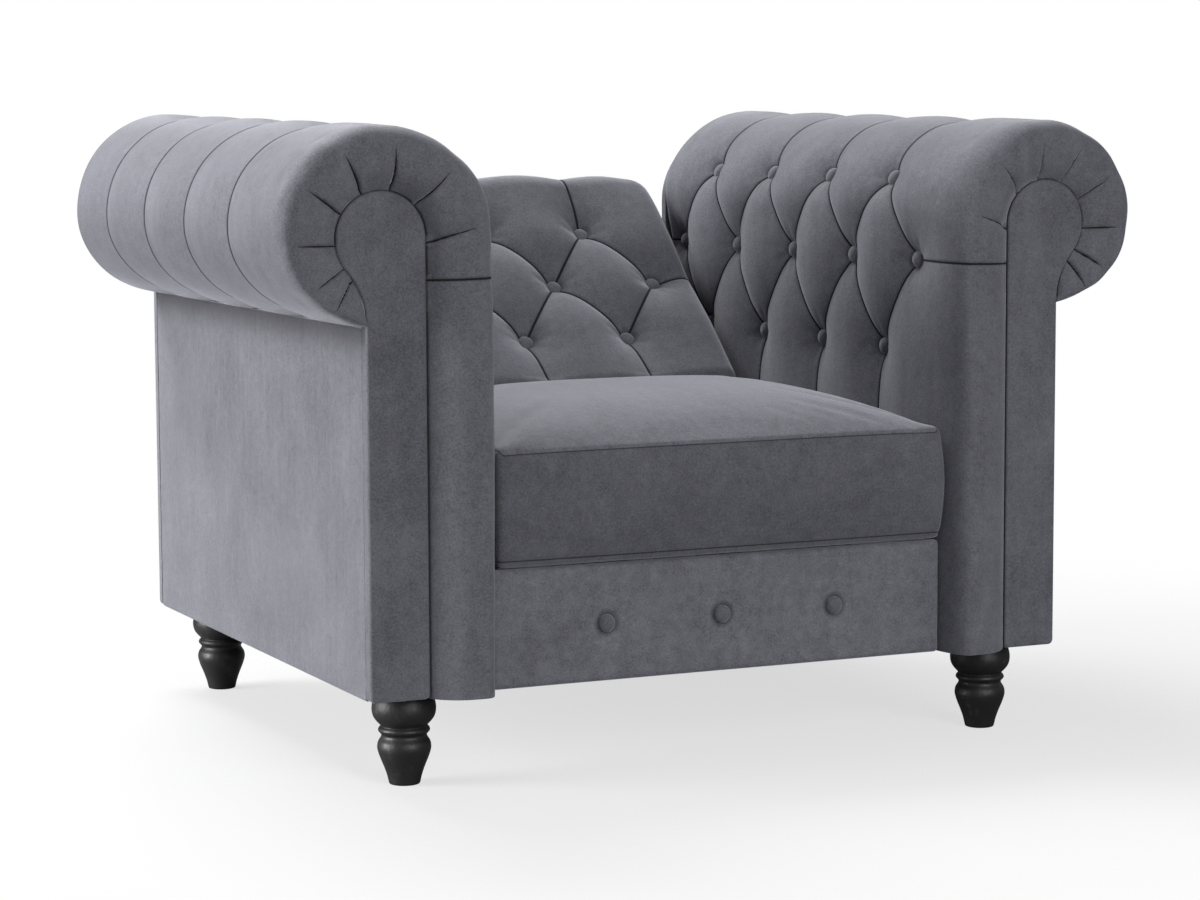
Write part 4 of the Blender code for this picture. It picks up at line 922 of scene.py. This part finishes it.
def dimple_shade(finish):
    # Painted shade round each front button: a little on its rim line and more in the ring beside it.
    shade = button_shade(finish, finish.attribute("button", "Fac"))
    return 0.2 * shade, 0.7 * shade


front_velvet = velvet("front_panel_velvet", dimple_shade, (30.0, 30.0, 9.0), FRONT_SHADE, mottled=1.0)
low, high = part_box("front_panel")
low.x -= PANEL_REACH
high.x += PANEL_REACH
panel = covered_board(
    "front_panel_cover", low, high, (1, -1), FRONT_ROUND, front_velvet, "base", relief=dimples, cell=0.003
)
places = points_of(panel.data)
gaps = [np.hypot(places[:, 0] - centre.x, places[:, 2] - centre.z) for centre in button_centres]
set_attribute(panel.data, "button", np.min(gaps, axis=0))
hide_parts("front_panel")
for name, facing in WRAPPED_RAILS.items():
    rail = covered_board(f"{name}_cover", *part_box(name), facing, WRAP_ROUND, panel_velvet, "base")
    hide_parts(name)


# Seat cushion: a foam block in a velvet box cover, seamed along its top and bottom edges. The cover is
# swelled by a cloth simulation, held at its seams and underside, and the seams are drawn in afterwards.

CUSHION_VOXEL = 0.0055
CUSHION_PRESSURE = 4.0
CUSHION_FRAMES = 20
CUSHION_CAP = 0.022  # furthest that the simulation may move a point
CUSHION_SHRINK = Vector((0.999, 0.994, 1.0))
CUSHION_SOFTEN = 12  # rounds of smoothing that take the hardness off its edges
EDGE_HEIGHT = 0.134  # side of the cushion, seam to seam
REAR_LIFT = 0.013  # the cushion is this much thicker towards its rear
LIFT_RUN = 0.75  # share of its depth over which it thickens
EDGE_LIFT = 0.006  # its front edge is fuller by this
FRONT_PUSH = 0.009  # its front swells forward by this at half its height
PUSH_RUN = 0.06
CORNER_ROUND = 0.013
CORNER_ROOM = 0.0065  # the front corners swell sideways, where the arms' fronts turn away
ROOM_RUN = 0.055
ROOM_WIDTH = 0.05
REAR_ROOM = 0.006  # how far the rear may swell past the block
SIDE_CLEAR = 0.0006
BOTTOM_SEAM = 0.009  # above the cushion's underside
SEAM_SINK = 0.0013
SEAM_SPREAD = 0.004
SEAM_HOLD = 0.008  # the simulation leaves points nearer to the top seam than this
cushion_low, cushion_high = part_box("seat_cushion")
top_seam_z = cushion_low.z + EDGE_HEIGHT
half_width = seat_half - SIDE_CLEAR


def plain_mesh(piece):
    """A new mesh with the piece's modifiers applied."""
    graph = bpy.context.evaluated_depsgraph_get()
    return bpy.data.meshes.new_from_object(piece.evaluated_get(graph))


def move_points(mesh, points):
    mesh.vertices.foreach_set("co", points.astype(np.float32).ravel())


def cushion_block():
    """The CAD cushion with its triangles joined, a little narrower and shorter, to leave room to swell."""
    mesh = nodes["seat_cushion"].data.copy()
    builder = bmesh.new()
    builder.from_mesh(mesh)
    bmesh.ops.remove_doubles(builder, verts=builder.verts, dist=1e-5)
    builder.to_mesh(mesh)
    builder.free()
    middle = (cushion_low + cushion_high) / 2
    middle.z = cushion_low.z
    shrink = Matrix.Diagonal(CUSHION_SHRINK).to_4x4()
    mesh.transform(Matrix.Translation(middle) @ shrink @ Matrix.Translation(-middle))
    return mesh


def remeshed(mesh):
    """An even closed skin over a mesh, with its edges softened."""
    source = new_object("remesh_source", mesh)
    skin = source.modifiers.new("even", "REMESH")
    skin.mode = "VOXEL"
    skin.voxel_size = CUSHION_VOXEL
    smoothing = source.modifiers.new("soften", "SMOOTH")
    smoothing.factor = 0.5
    smoothing.iterations = CUSHION_SOFTEN
    made = plain_mesh(source)
    bpy.data.objects.remove(source)
    return made


def swell(piece, held):
    """Where a cloth simulation with pressure takes a cover's points. Held points stay where they are."""
    before = points_of(piece.data)
    group = piece.vertex_groups.new(name="held")
    group.add([int(k) for k in np.nonzero(held)[0]], 1.0, "REPLACE")
    cloth = piece.modifiers.new("swell", "CLOTH")
    cloth.settings.vertex_group_mass = "held"
    cloth.settings.use_pressure = True
    cloth.settings.uniform_pressure_force = CUSHION_PRESSURE
    cloth.settings.quality = 6
    cloth.settings.tension_stiffness = 18.0
    cloth.settings.bending_stiffness = 1.5
    cloth.settings.effector_weights.gravity = 0.0
    cloth.point_cache.frame_start = 1
    cloth.point_cache.frame_end = CUSHION_FRAMES
    scene = bpy.context.scene
    for number in range(1, CUSHION_FRAMES + 1):
        scene.frame_set(number)
    graph = bpy.context.evaluated_depsgraph_get()
    after = points_of(piece.evaluated_get(graph).data)
    piece.modifiers.remove(cloth)
    piece.vertex_groups.remove(group)
    scene.frame_set(1)
    move = after - before
    length = np.linalg.norm(move, axis=1, keepdims=True)
    return before + move * np.minimum(1.0, CUSHION_CAP / np.maximum(length, 1e-9))


def rear_lift(points):
    depth = LIFT_RUN * (cushion_high.y - cushion_low.y)
    share = smooth_step((points[:, 1] - cushion_low.y) / depth)
    return REAR_LIFT * share + EDGE_LIFT * (1 - share)


def top_seam_distance(points):
    """Signed distance from the seam round the cushion's top: above 0 on the crown, below on the sides."""
    sides = half_width - np.abs(points[:, 0])
    ends = np.minimum(points[:, 1] - cushion_low.y, cushion_high.y - points[:, 1])
    inset = np.clip(np.minimum(sides, ends), 0.0, None)
    return inset - np.clip(top_seam_z + rear_lift(points) - points[:, 2], 0.0, None)


def round_corner(points, axis, limit, side):
    """Rounds the two edges where the cushion's sides meet the face at a limit along an axis."""
    over_side = np.clip(np.abs(points[:, 0]) - (side - CORNER_ROUND), 0.0, None)
    over_face = np.clip(limit + CORNER_ROUND - points[:, axis], 0.0, None)
    pulled = 1 - 1 / np.clip(np.hypot(over_side, over_face) / CORNER_ROUND, 1.0, None)
    points[:, 0] -= np.sign(points[:, 0]) * over_side * pulled
    points[:, axis] += over_face * pulled


cushion_mesh = remeshed(cushion_block())
cushion_mesh.name = "seat_cushion_cover"
cushion = new_object("seat_cushion_cover", cushion_mesh)
start = points_of(cushion_mesh)
start[:, 2] += rear_lift(start) * np.clip((start[:, 2] - cushion_low.z) / EDGE_HEIGHT, 0.0, 1.0)
move_points(cushion_mesh, start)
held = (np.abs(top_seam_distance(start)) < SEAM_HOLD) | (start[:, 2] < cushion_low.z + BOTTOM_SEAM)
move_points(cushion_mesh, swell(cushion, held))
cushion_mesh.update()
smoother = cushion.modifiers.new("round", "SUBSURF")
smoother.levels = smoother.render_levels = 1
finer = plain_mesh(cushion)
cushion.modifiers.remove(smoother)
cushion.data = finer
points = points_of(finer)
full = np.sin(math.pi * np.clip((points[:, 2] - cushion_low.z) / (EDGE_HEIGHT + EDGE_LIFT), 0.0, 1.0))
points[:, 1] -= FRONT_PUSH * full * smooth_step(1.0 - (points[:, 1] - cushion_low.y) / PUSH_RUN)
room = CORNER_ROOM * np.clip((front_y + ROOM_RUN - points[:, 1]) / ROOM_RUN, 0.0, 1.2)
beside = smooth_step((np.abs(points[:, 0]) - half_width + ROOM_WIDTH) / ROOM_WIDTH)
points[:, 0] += np.sign(points[:, 0]) * room * (0.5 + 0.5 * full) * beside
points[:, 0] = np.clip(points[:, 0], -half_width - room, half_width + room)
round_corner(points, 1, cushion_low.y - FRONT_PUSH * full, half_width + room)
points[:, 1] = np.clip(points[:, 1], cushion_low.y - FRONT_PUSH, cushion_high.y + REAR_ROOM)
points[:, 2] = np.maximum(points[:, 2], cushion_low.z)
round_corner(points, 2, cushion_low.z, half_width + room)
top_line = top_seam_distance(points)
bottom_line = points[:, 2] - cushion_low.z - BOTTOM_SEAM
sink = SEAM_SINK * sum(np.exp(-((line / SEAM_SPREAD) ** 2)) for line in (top_line, bottom_line))
normals = np.array([vertex.normal for vertex in finer.vertices])
move_points(finer, points - normals * sink[:, None])
set_attribute(finer, "top_seam", top_line)
set_attribute(finer, "bottom_seam", bottom_line)


def cushion_seams(finish):
    # Painted shade on the seams: their dark lines and the creases beside them.
    top, bottom = (finish.attribute(name, "Fac") for name in ("top_seam", "bottom_seam"))
    nearest = top.math("MINIMUM", abs(top), abs(bottom))
    line = finish.between(nearest, 0.0003, 0.0011, 1.0, 0.0)
    return 0.6 * line, finish.between(nearest, 0.0, 0.0035, 0.45, 0.0)


def cushion_painted_light(finish):
    """The top piece, whose pile lies towards the front, is painted paler and the side strip darker: painted
    light for the sheen that the top catches.
    """
    return finish.between(finish.attribute("top_seam", "Fac"), -0.002, 0.002, 0.85, 1.10)


cushion_velvet = velvet("cushion_velvet", cushion_seams, nap=(60.0, 8.0, 60.0), painted_shading=cushion_painted_light)
finer.materials.clear()
finer.materials.append(cushion_velvet.material)
finer.shade_smooth()
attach(cushion, "base")
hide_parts("seat_cushion")


# Back: a buttoned pad on a timber frame, wrapped over the frame's top, with a thin covered board behind. It
# leans back on the hinge pins, so all of it is drawn upright about the hinge axis and then turned.

hinge = Vector(frame["joints"][0]["pos_m"])
lean = np.array(Matrix.Rotation(-REST_LEAN, 3, "X"))
BACK_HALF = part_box("back_pad")[1].x
BACK_FRONT = 0.055
BACK_PAD_REAR = 0.045
BACK_BOTTOM = 0.015
BACK_TOP = 0.432
BACK_FRAME_TOP = 0.415
BACK_REAR = 0.0827
BACK_TOP_ROUND = 0.052
BACK_BOTTOM_ROUND = 0.034
BACK_SIDE_ROUND = 0.030
SIDE_STOPS = np.array([0.0, 0.03, 0.1, 0.2, 0.34, 0.5, 0.7, 0.9])  # mesh lines over a side, in radii
CORNER_DROOP = 0.012  # top corners of the back, less filled than its middle
CORNER_RUN = 0.010
CORNER_SPREAD = 0.060
BACK_COLUMNS = 4
BACK_MARGIN = 0.0585
BACK_TOP_MARGIN = 0.126
BACK_DEPTH = 0.033
BACK_KEEPS = (0.55, 0.40, 0.40)
BACK_SHADE = colour(0.134, 0.136, 0.158)  # painted darker than the arms' velvet, for the shade on the leaning back; its pile lies upwards
FOOT_FADE = 0.05  # the tufts fade out over this length towards the pad's foot and its rear edge
back_row = (BACK_TOP - BACK_TOP_MARGIN) / 3
back_pitch = 2 * (BACK_HALF - BACK_MARGIN) / (BACK_COLUMNS - 1)
back_buttons = Buttoning(
    BACK_MARGIN - BACK_HALF, BACK_COLUMNS, back_pitch, 2 * back_row, back_row, BACK_DEPTH
)


def back_to_world(points):
    return points @ lean.T + np.array(hinge)


def arc(centre, radius, start, end, cell=0.003):
    turns = np.radians(stops(start, (end, math.degrees(cell / radius))))
    return [(centre[0] + radius * math.cos(turn), centre[1] + radius * math.sin(turn)) for turn in turns]


def back_outline():
    """Section of the pad from its lower rear edge, forward, up the front and over the top: (y, z)."""
    foot = (BACK_BOTTOM_ROUND - BACK_FRONT, BACK_BOTTOM_ROUND - BACK_BOTTOM)
    crest = (BACK_TOP_ROUND - BACK_FRONT, BACK_TOP - BACK_TOP_ROUND)
    rear_round = BACK_TOP - BACK_FRAME_TOP - CLEAR
    nape = (BACK_REAR - rear_round, BACK_TOP - rear_round)
    line = [(y, -BACK_BOTTOM) for y in stops(BACK_PAD_REAR, (foot[0], 0.006))[:-1]]
    line += arc(foot, BACK_BOTTOM_ROUND, 270.0, 180.0)
    line += [(-BACK_FRONT, z) for z in stops(foot[1], (crest[1], 0.0026))[1:-1]]
    line += arc(crest, BACK_TOP_ROUND, 180.0, 90.0)
    line += [(y, BACK_TOP) for y in stops(crest[0], (nape[0], 0.005))[1:-1]]
    line += arc(nape, rear_round, 90.0, 0.0)
    return np.array(line)


def back_cover():
    """Outer surface of the back's pad as a grid of points, with their flat places."""
    outline = back_outline()
    travel = np.concatenate([[0.0], np.cumsum(np.linalg.norm(np.diff(outline, axis=0), axis=1))])
    front = np.nonzero(np.abs(outline[:, 0] + BACK_FRONT) < 1e-6)[0]
    along = travel - travel[front[0]] + outline[front[0], 1]
    near = BACK_SIDE_ROUND * SIDE_STOPS
    inside = stops(-BACK_HALF + BACK_SIDE_ROUND, (BACK_HALF - BACK_SIDE_ROUND, 0.0026))
    xs = np.concatenate([-BACK_HALF + near, inside, BACK_HALF - near[::-1]])
    flat_x, flat_w = np.meshgrid(xs, along)
    points = np.stack([flat_x, *(np.tile(part[:, None], (1, len(xs))) for part in outline.T)], axis=2)
    normals = grid_normals(points)
    if normals[len(outline) // 3, len(xs) // 2, 1] > 0:
        normals = -normals
    sink = back_buttons.drawn_in(flat_x, flat_w, BACK_KEEPS)
    forward = np.clip((BACK_PAD_REAR - outline[:, 0]) / (BACK_PAD_REAR + BACK_FRONT) * 1.5, 0.0, 1.0)
    foot_fade = np.clip((along + 0.03) / FOOT_FADE, 0.0, 1.0)
    foot_fade = foot_fade * np.clip((BACK_PAD_REAR + 0.04 - outline[:, 0]) / FOOT_FADE, 0.0, 1.0)
    fall = soft_fall(BACK_HALF - np.abs(flat_x), BACK_SIDE_ROUND) * forward[:, None]
    sink = sink * foot_fade[:, None] * (1 - fall / BACK_SIDE_ROUND) + fall
    sink += RIPPLE * ripple(flat_x, flat_w) * foot_fade[:, None]
    corner = np.hypot(BACK_HALF - np.abs(flat_x), flat_w - (BACK_TOP + CORNER_RUN))
    sink += CORNER_DROOP * np.exp(-((corner / CORNER_SPREAD) ** 2))
    return points - normals * sink[..., None], np.stack([flat_x, flat_w, 0 * flat_x], axis=2)


def back_box(name):
    """Corners of one of the back's nodes, with the back upright about the hinge axis."""
    points = (points_of(nodes[name].data) - np.array(hinge)) @ lean
    return points.min(axis=0), points.max(axis=0)


back_velvet = velvet("back_velvet", back_buttons.lines, nap=ARM_NAP, shade=BACK_SHADE)
cover, flat = back_cover()
columns = cover.shape[1]
lip = np.full((columns, 3), (0.0, BACK_PAD_REAR, BACK_FRAME_TOP + CLEAR))
lip[:, 0] = cover[0, :, 0]
points = np.concatenate([cover.reshape(-1, 3), lip])
back_sections = np.arange(len(points)).reshape(-1, columns).T
faces = loop_quads(back_sections) + [back_sections[0], back_sections[-1]]
back_pad = new_piece("back_padding", back_to_world(points), faces, back_velvet, "back")
back_flat = np.concatenate([flat.reshape(-1, 3), np.full((columns, 3), HIDDEN_FLAT)])
marks = np.full(back_flat.shape, HIDDEN_MARK)
marks[:, 2] = back_buttons.nearest(*back_flat[:, :2].T)
set_attribute(back_pad.data, "flat", back_flat)
set_attribute(back_pad.data, "marks", marks)
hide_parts("back_pad")
wrapped = {"back_rear_panel": (1, 1), "back_left_post": (0, -1), "back_right_post": (0, 1)}
for name, facing in wrapped.items():
    wrap = covered_board(
        f"{name}_cover", *back_box(name), facing, WRAP_ROUND, panel_velvet, "back", to_world=back_to_world
    )
    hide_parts(name)


# Buttons: domed metal shells covered in the same velvet, on twine through the padding. One node tree sets a
# button at each tuft, facing out of it.

BUTTON_HEIGHT = 0.0078
BUTTON_STAND = 0.004  # middle of a button above the bottom of its tuft


def button_tree():
    """Sets a flattened ball at each place, its short axis along the place's facing."""
    tree = bpy.data.node_groups.new("covered_buttons", "GeometryNodeTree")
    takes = {"Places": "Geometry", "Radius": "Float", "Height": "Float", "Velvet": "Material"}
    for name, kind in takes.items():
        tree.interface.new_socket(name, in_out="INPUT", socket_type=f"NodeSocket{kind}")
    tree.interface.new_socket("Buttons", in_out="OUTPUT", socket_type="NodeSocketGeometry")
    maker = Maker(tree)
    taken = maker.node("NodeGroupInput", {}, {})
    places, radius, height, cloth = (taken.output(name) for name in takes)
    ball = maker.node("GeometryNodeMeshUVSphere", {}, {"Segments": 28, "Rings": 14, "Radius": 1.0})
    size = maker.node("ShaderNodeCombineXYZ", {}, {"X": radius, "Y": radius, "Z": height})
    dome = maker.node("GeometryNodeTransform", {}, {"Geometry": ball, "Scale": size})
    named = {"data_type": "FLOAT_VECTOR"}
    facing = maker.node("GeometryNodeInputNamedAttribute", named, {"Name": "facing"}, "Attribute")
    aim = maker.node("FunctionNodeAlignRotationToVector", {"axis": "Z"}, {"Vector": facing})
    sockets = {"Points": places, "Instance": dome, "Rotation": aim}
    spread = maker.node("GeometryNodeInstanceOnPoints", {}, sockets)
    smooth = maker.node("GeometryNodeSetShadeSmooth", {}, {"Geometry": spread})
    real = maker.node("GeometryNodeRealizeInstances", {}, {"Geometry": smooth})
    covered = maker.node("GeometryNodeSetMaterial", {}, {"Geometry": real, "Material": cloth})
    maker.node("NodeGroupOutput", {}, {"Buttons": covered})
    return tree


buttons = button_tree()
button_velvet = velvet("button_velvet")
given = {"Radius": BUTTON_RADIUS, "Height": BUTTON_HEIGHT, "Velvet": button_velvet.material}


def grow_buttons(name, places, facings, body):
    """Runs the node tree on the buttons' places and keeps the result as a plain mesh."""
    mesh = bpy.data.meshes.new(name)
    mesh.from_pydata([tuple(place) for place in places], [], [])
    set_attribute(mesh, "facing", np.array(facings))
    piece = new_object(name, mesh)
    modifier = piece.modifiers.new("grow", "NODES")
    modifier.node_group = buttons
    for socket in buttons.interface.items_tree:
        if socket.name in given:
            modifier[socket.identifier] = given[socket.name]
    plain = plain_mesh(piece)
    piece.modifiers.remove(modifier)
    piece.data = plain
    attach(piece, body)
    return piece


for word, side in SIDES:
    places, facings = [], []
    for y, station in arm_buttons.places():
        outline, _, _, angle = arm_section(station)
        reach = roll_inward if math.cos(angle) < 0 else ROLL_REACH
        outward = np.array([math.cos(angle) / reach, math.sin(angle) / ROLL_RISE])
        outward /= np.linalg.norm(outward)
        seat = outline - outward * (ARM_DEPTH - BUTTON_STAND)
        places.append((side * seat[0], front_y + y, seat[1]))
        facings.append((side * outward[0], 0.0, outward[1]))
    grow_buttons(f"arm_buttons_{word}", places, facings, "base")
places = np.array([(x, BACK_DEPTH - BUTTON_STAND - BACK_FRONT, w) for x, w in back_buttons.places()])
facings = np.tile([0.0, -1.0, 0.0], (len(places), 1)) @ lean.T
grow_buttons("back_buttons", back_to_world(places), facings, "back")
panel_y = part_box("front_panel")[0].y + DIMPLE_DEPTH - FRONT_STAND
places = [(centre.x, panel_y, centre.z) for centre in button_centres]
front_set = grow_buttons("front_buttons", places, [(0.0, -1.0, 0.0)] * len(places), "base")
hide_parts(*FRONT_BUTTONS)


# Feet: turned hardwood, stained black under a satin lacquer that has worn to brown in patches.
# Each is screwed on to a hanger bolt under the frame.

FOOT_SIDES = 72
FOOT_PROFILE = (  # radius and height
    (0.0160, 0.0000), (0.0178, 0.0008), (0.0188, 0.0040), (0.0205, 0.0110), (0.0240, 0.0210),
    (0.0285, 0.0320), (0.0310, 0.0400), (0.0314, 0.0450), (0.0303, 0.0500), (0.0275, 0.0545),
    (0.0265, 0.0575), (0.0278, 0.0598), (0.0299, 0.0622), (0.0301, 0.0645), (0.0287, 0.0668),
    (0.0270, 0.0682), (0.0282, 0.0700), (0.0325, 0.0745), (0.0360, 0.0800), (0.0375, 0.0870),
    (0.0370, 0.0940), (0.0350, 0.1010), (0.0320, 0.1060), (0.0290, 0.1085),
)


def lacquer():
    finish = Finish("black_lacquer")
    wear = finish.noise(finish.place(), 45.0, 5.0, 0.7)
    grain = finish.noise(finish.place((260.0, 260.0, 14.0)), 1.0, 3.0)
    worn = finish.between(wear, 0.55, 0.72)
    finish.surface({
        "Base Color": finish.blend(worn, colour(0.015, 0.015, 0.016), colour(0.055, 0.040, 0.033)),
        "Roughness": 0.24 + 0.36 * wear + 0.1 * grain,
        "Normal": finish.bump(wear + 0.3 * grain, 0.0012, 0.6),
        "Specular IOR Level": 0.55,
    })
    return finish


def smooth_profile(marks, steps=4):
    """A smooth curve through a turned profile's marks."""
    marks = np.array(marks)
    padded = np.concatenate([2 * marks[:1] - marks[1:2], marks, 2 * marks[-1:] - marks[-2:-1]])
    line = []
    for a, b, c, d in zip(padded, padded[1:], padded[2:], padded[3:]):
        for t in np.arange(steps) / steps:
            bend = (2 * a - 5 * b + 4 * c - d) * t**2 + (3 * b - a - 3 * c + d) * t**3
            line.append(0.5 * (2 * b + (c - a) * t + bend))
    return np.array([*line, marks[-1]])


black = lacquer()
profile = smooth_profile(FOOT_PROFILE)
turns = np.arange(FOOT_SIDES) * math.tau / FOOT_SIDES
foot_loops = np.arange(len(profile) * FOOT_SIDES).reshape(-1, FOOT_SIDES)
faces = loop_quads(foot_loops) + [foot_loops[0], foot_loops[-1]]
for end in ("front", "rear"):
    for word, _ in SIDES:
        low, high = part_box(f"foot_{end}_{word}")
        middle = (low + high) / 2
        height = (high.z - low.z) / profile[-1, 1]
        points = [
            (middle.x + r * math.cos(turn), middle.y + r * math.sin(turn), low.z + z * height)
            for r, z in profile for turn in turns
        ]
        foot = new_piece(f"turned_foot_{end}_{word}", points, faces, black, "base")
        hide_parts(f"foot_{end}_{word}")


# Studio: a white floor and surround, a large soft light on the chair's left, a weaker one above its rear, a
# fill from the front and a camera fitted to the photograph.

WHITE = colour(1.0, 1.0, 1.0)
FLOOR_WHITE = colour(0.86, 0.86, 0.86)
FLOOR_HALF = 30.0
AMBIENT = 0.20
CHAIR_MIDDLE = Vector((0.0, 0.0, 0.4))
CAMERA_PLACE = Vector((-1.70496, front_y - 3.32643, 0.78519))
CAMERA_YAW = math.radians(24.795)
CAMERA_PITCH = math.radians(6.232)
CAMERA_ROLL = math.radians(-0.267)
CAMERA_LENS = 95.39


def studio_light(name, place, size, power):
    lamp = bpy.data.lights.new(name, "AREA")
    lamp.shape = "DISK"
    lamp.size = size
    lamp.energy = power
    light = new_object(name, lamp)
    light.location = place
    light.rotation_euler = (CHAIR_MIDDLE - Vector(place)).to_track_quat("-Z", "Y").to_euler()


def white_floor():
    """Matt where it takes the chair's shadow, passing into plain white further out."""
    finish = Finish("white_floor")
    seen = finish.node("ShaderNodeLightPath", {}, {}, "Is Camera Ray")
    glow = finish.node("ShaderNodeEmission", {}, {"Strength": seen})
    matt = finish.node("ShaderNodeBsdfDiffuse", {}, {"Color": FLOOR_WHITE})
    reach = finish.node("ShaderNodeVectorMath", {"operation": "LENGTH"}, {0: finish.place()}, "Value")
    finish.mix(finish.between(reach, 0.7, 1.7, 0.66, 1.0), matt, glow)
    return finish


floor_mesh = bpy.data.meshes.new("floor")
corners = [(x * FLOOR_HALF, y * FLOOR_HALF, 0.0) for x, y in ((-1, -1), (1, -1), (1, 1), (-1, 1))]
floor_mesh.from_pydata(corners, [], [(0, 1, 2, 3)])
floor_mesh.materials.append(white_floor().material)
floor = new_object("floor", floor_mesh)

world = bpy.data.worlds.new("studio")
bpy.context.scene.world = world
world.use_nodes = True
surround = Maker(world.node_tree)
seen = surround.node("ShaderNodeLightPath", {}, {}, "Is Camera Ray")
level = surround.node("ShaderNodeMapRange", {}, {"Value": seen, "To Min": AMBIENT, "To Max": 1.0})
surround.feed(world.node_tree.nodes["Background"], {"Color": WHITE, "Strength": level})
studio_light("left_key", (-4.4, 0.6, 1.0), 2.4, 245.0)
studio_light("rear_top", (-0.6, 2.5, 3.7), 2.4, 148.0)
studio_light("front_fill", (0.4, -4.7, 1.6), 3.0, 101.0)

camera_data = bpy.data.cameras.new("photo_camera")
camera_data.lens = CAMERA_LENS
camera_data.sensor_width = 36.0
camera_data.sensor_fit = "HORIZONTAL"
camera = new_object("photo_camera", camera_data)
level_forward = Vector((math.sin(CAMERA_YAW), math.cos(CAMERA_YAW), 0.0))
forward = math.cos(CAMERA_PITCH) * level_forward - math.sin(CAMERA_PITCH) * Vector((0.0, 0.0, 1.0))
level_right = Vector((math.cos(CAMERA_YAW), -math.sin(CAMERA_YAW), 0.0))
level_up = level_right.cross(forward)
right = math.cos(CAMERA_ROLL) * level_right + math.sin(CAMERA_ROLL) * level_up
up = math.cos(CAMERA_ROLL) * level_up - math.sin(CAMERA_ROLL) * level_right
camera.matrix_world = Matrix.Translation(CAMERA_PLACE) @ Matrix((right, up, -forward)).transposed().to_4x4()
bpy.context.scene.camera = camera
bpy.context.scene.view_settings.view_transform = "Standard"
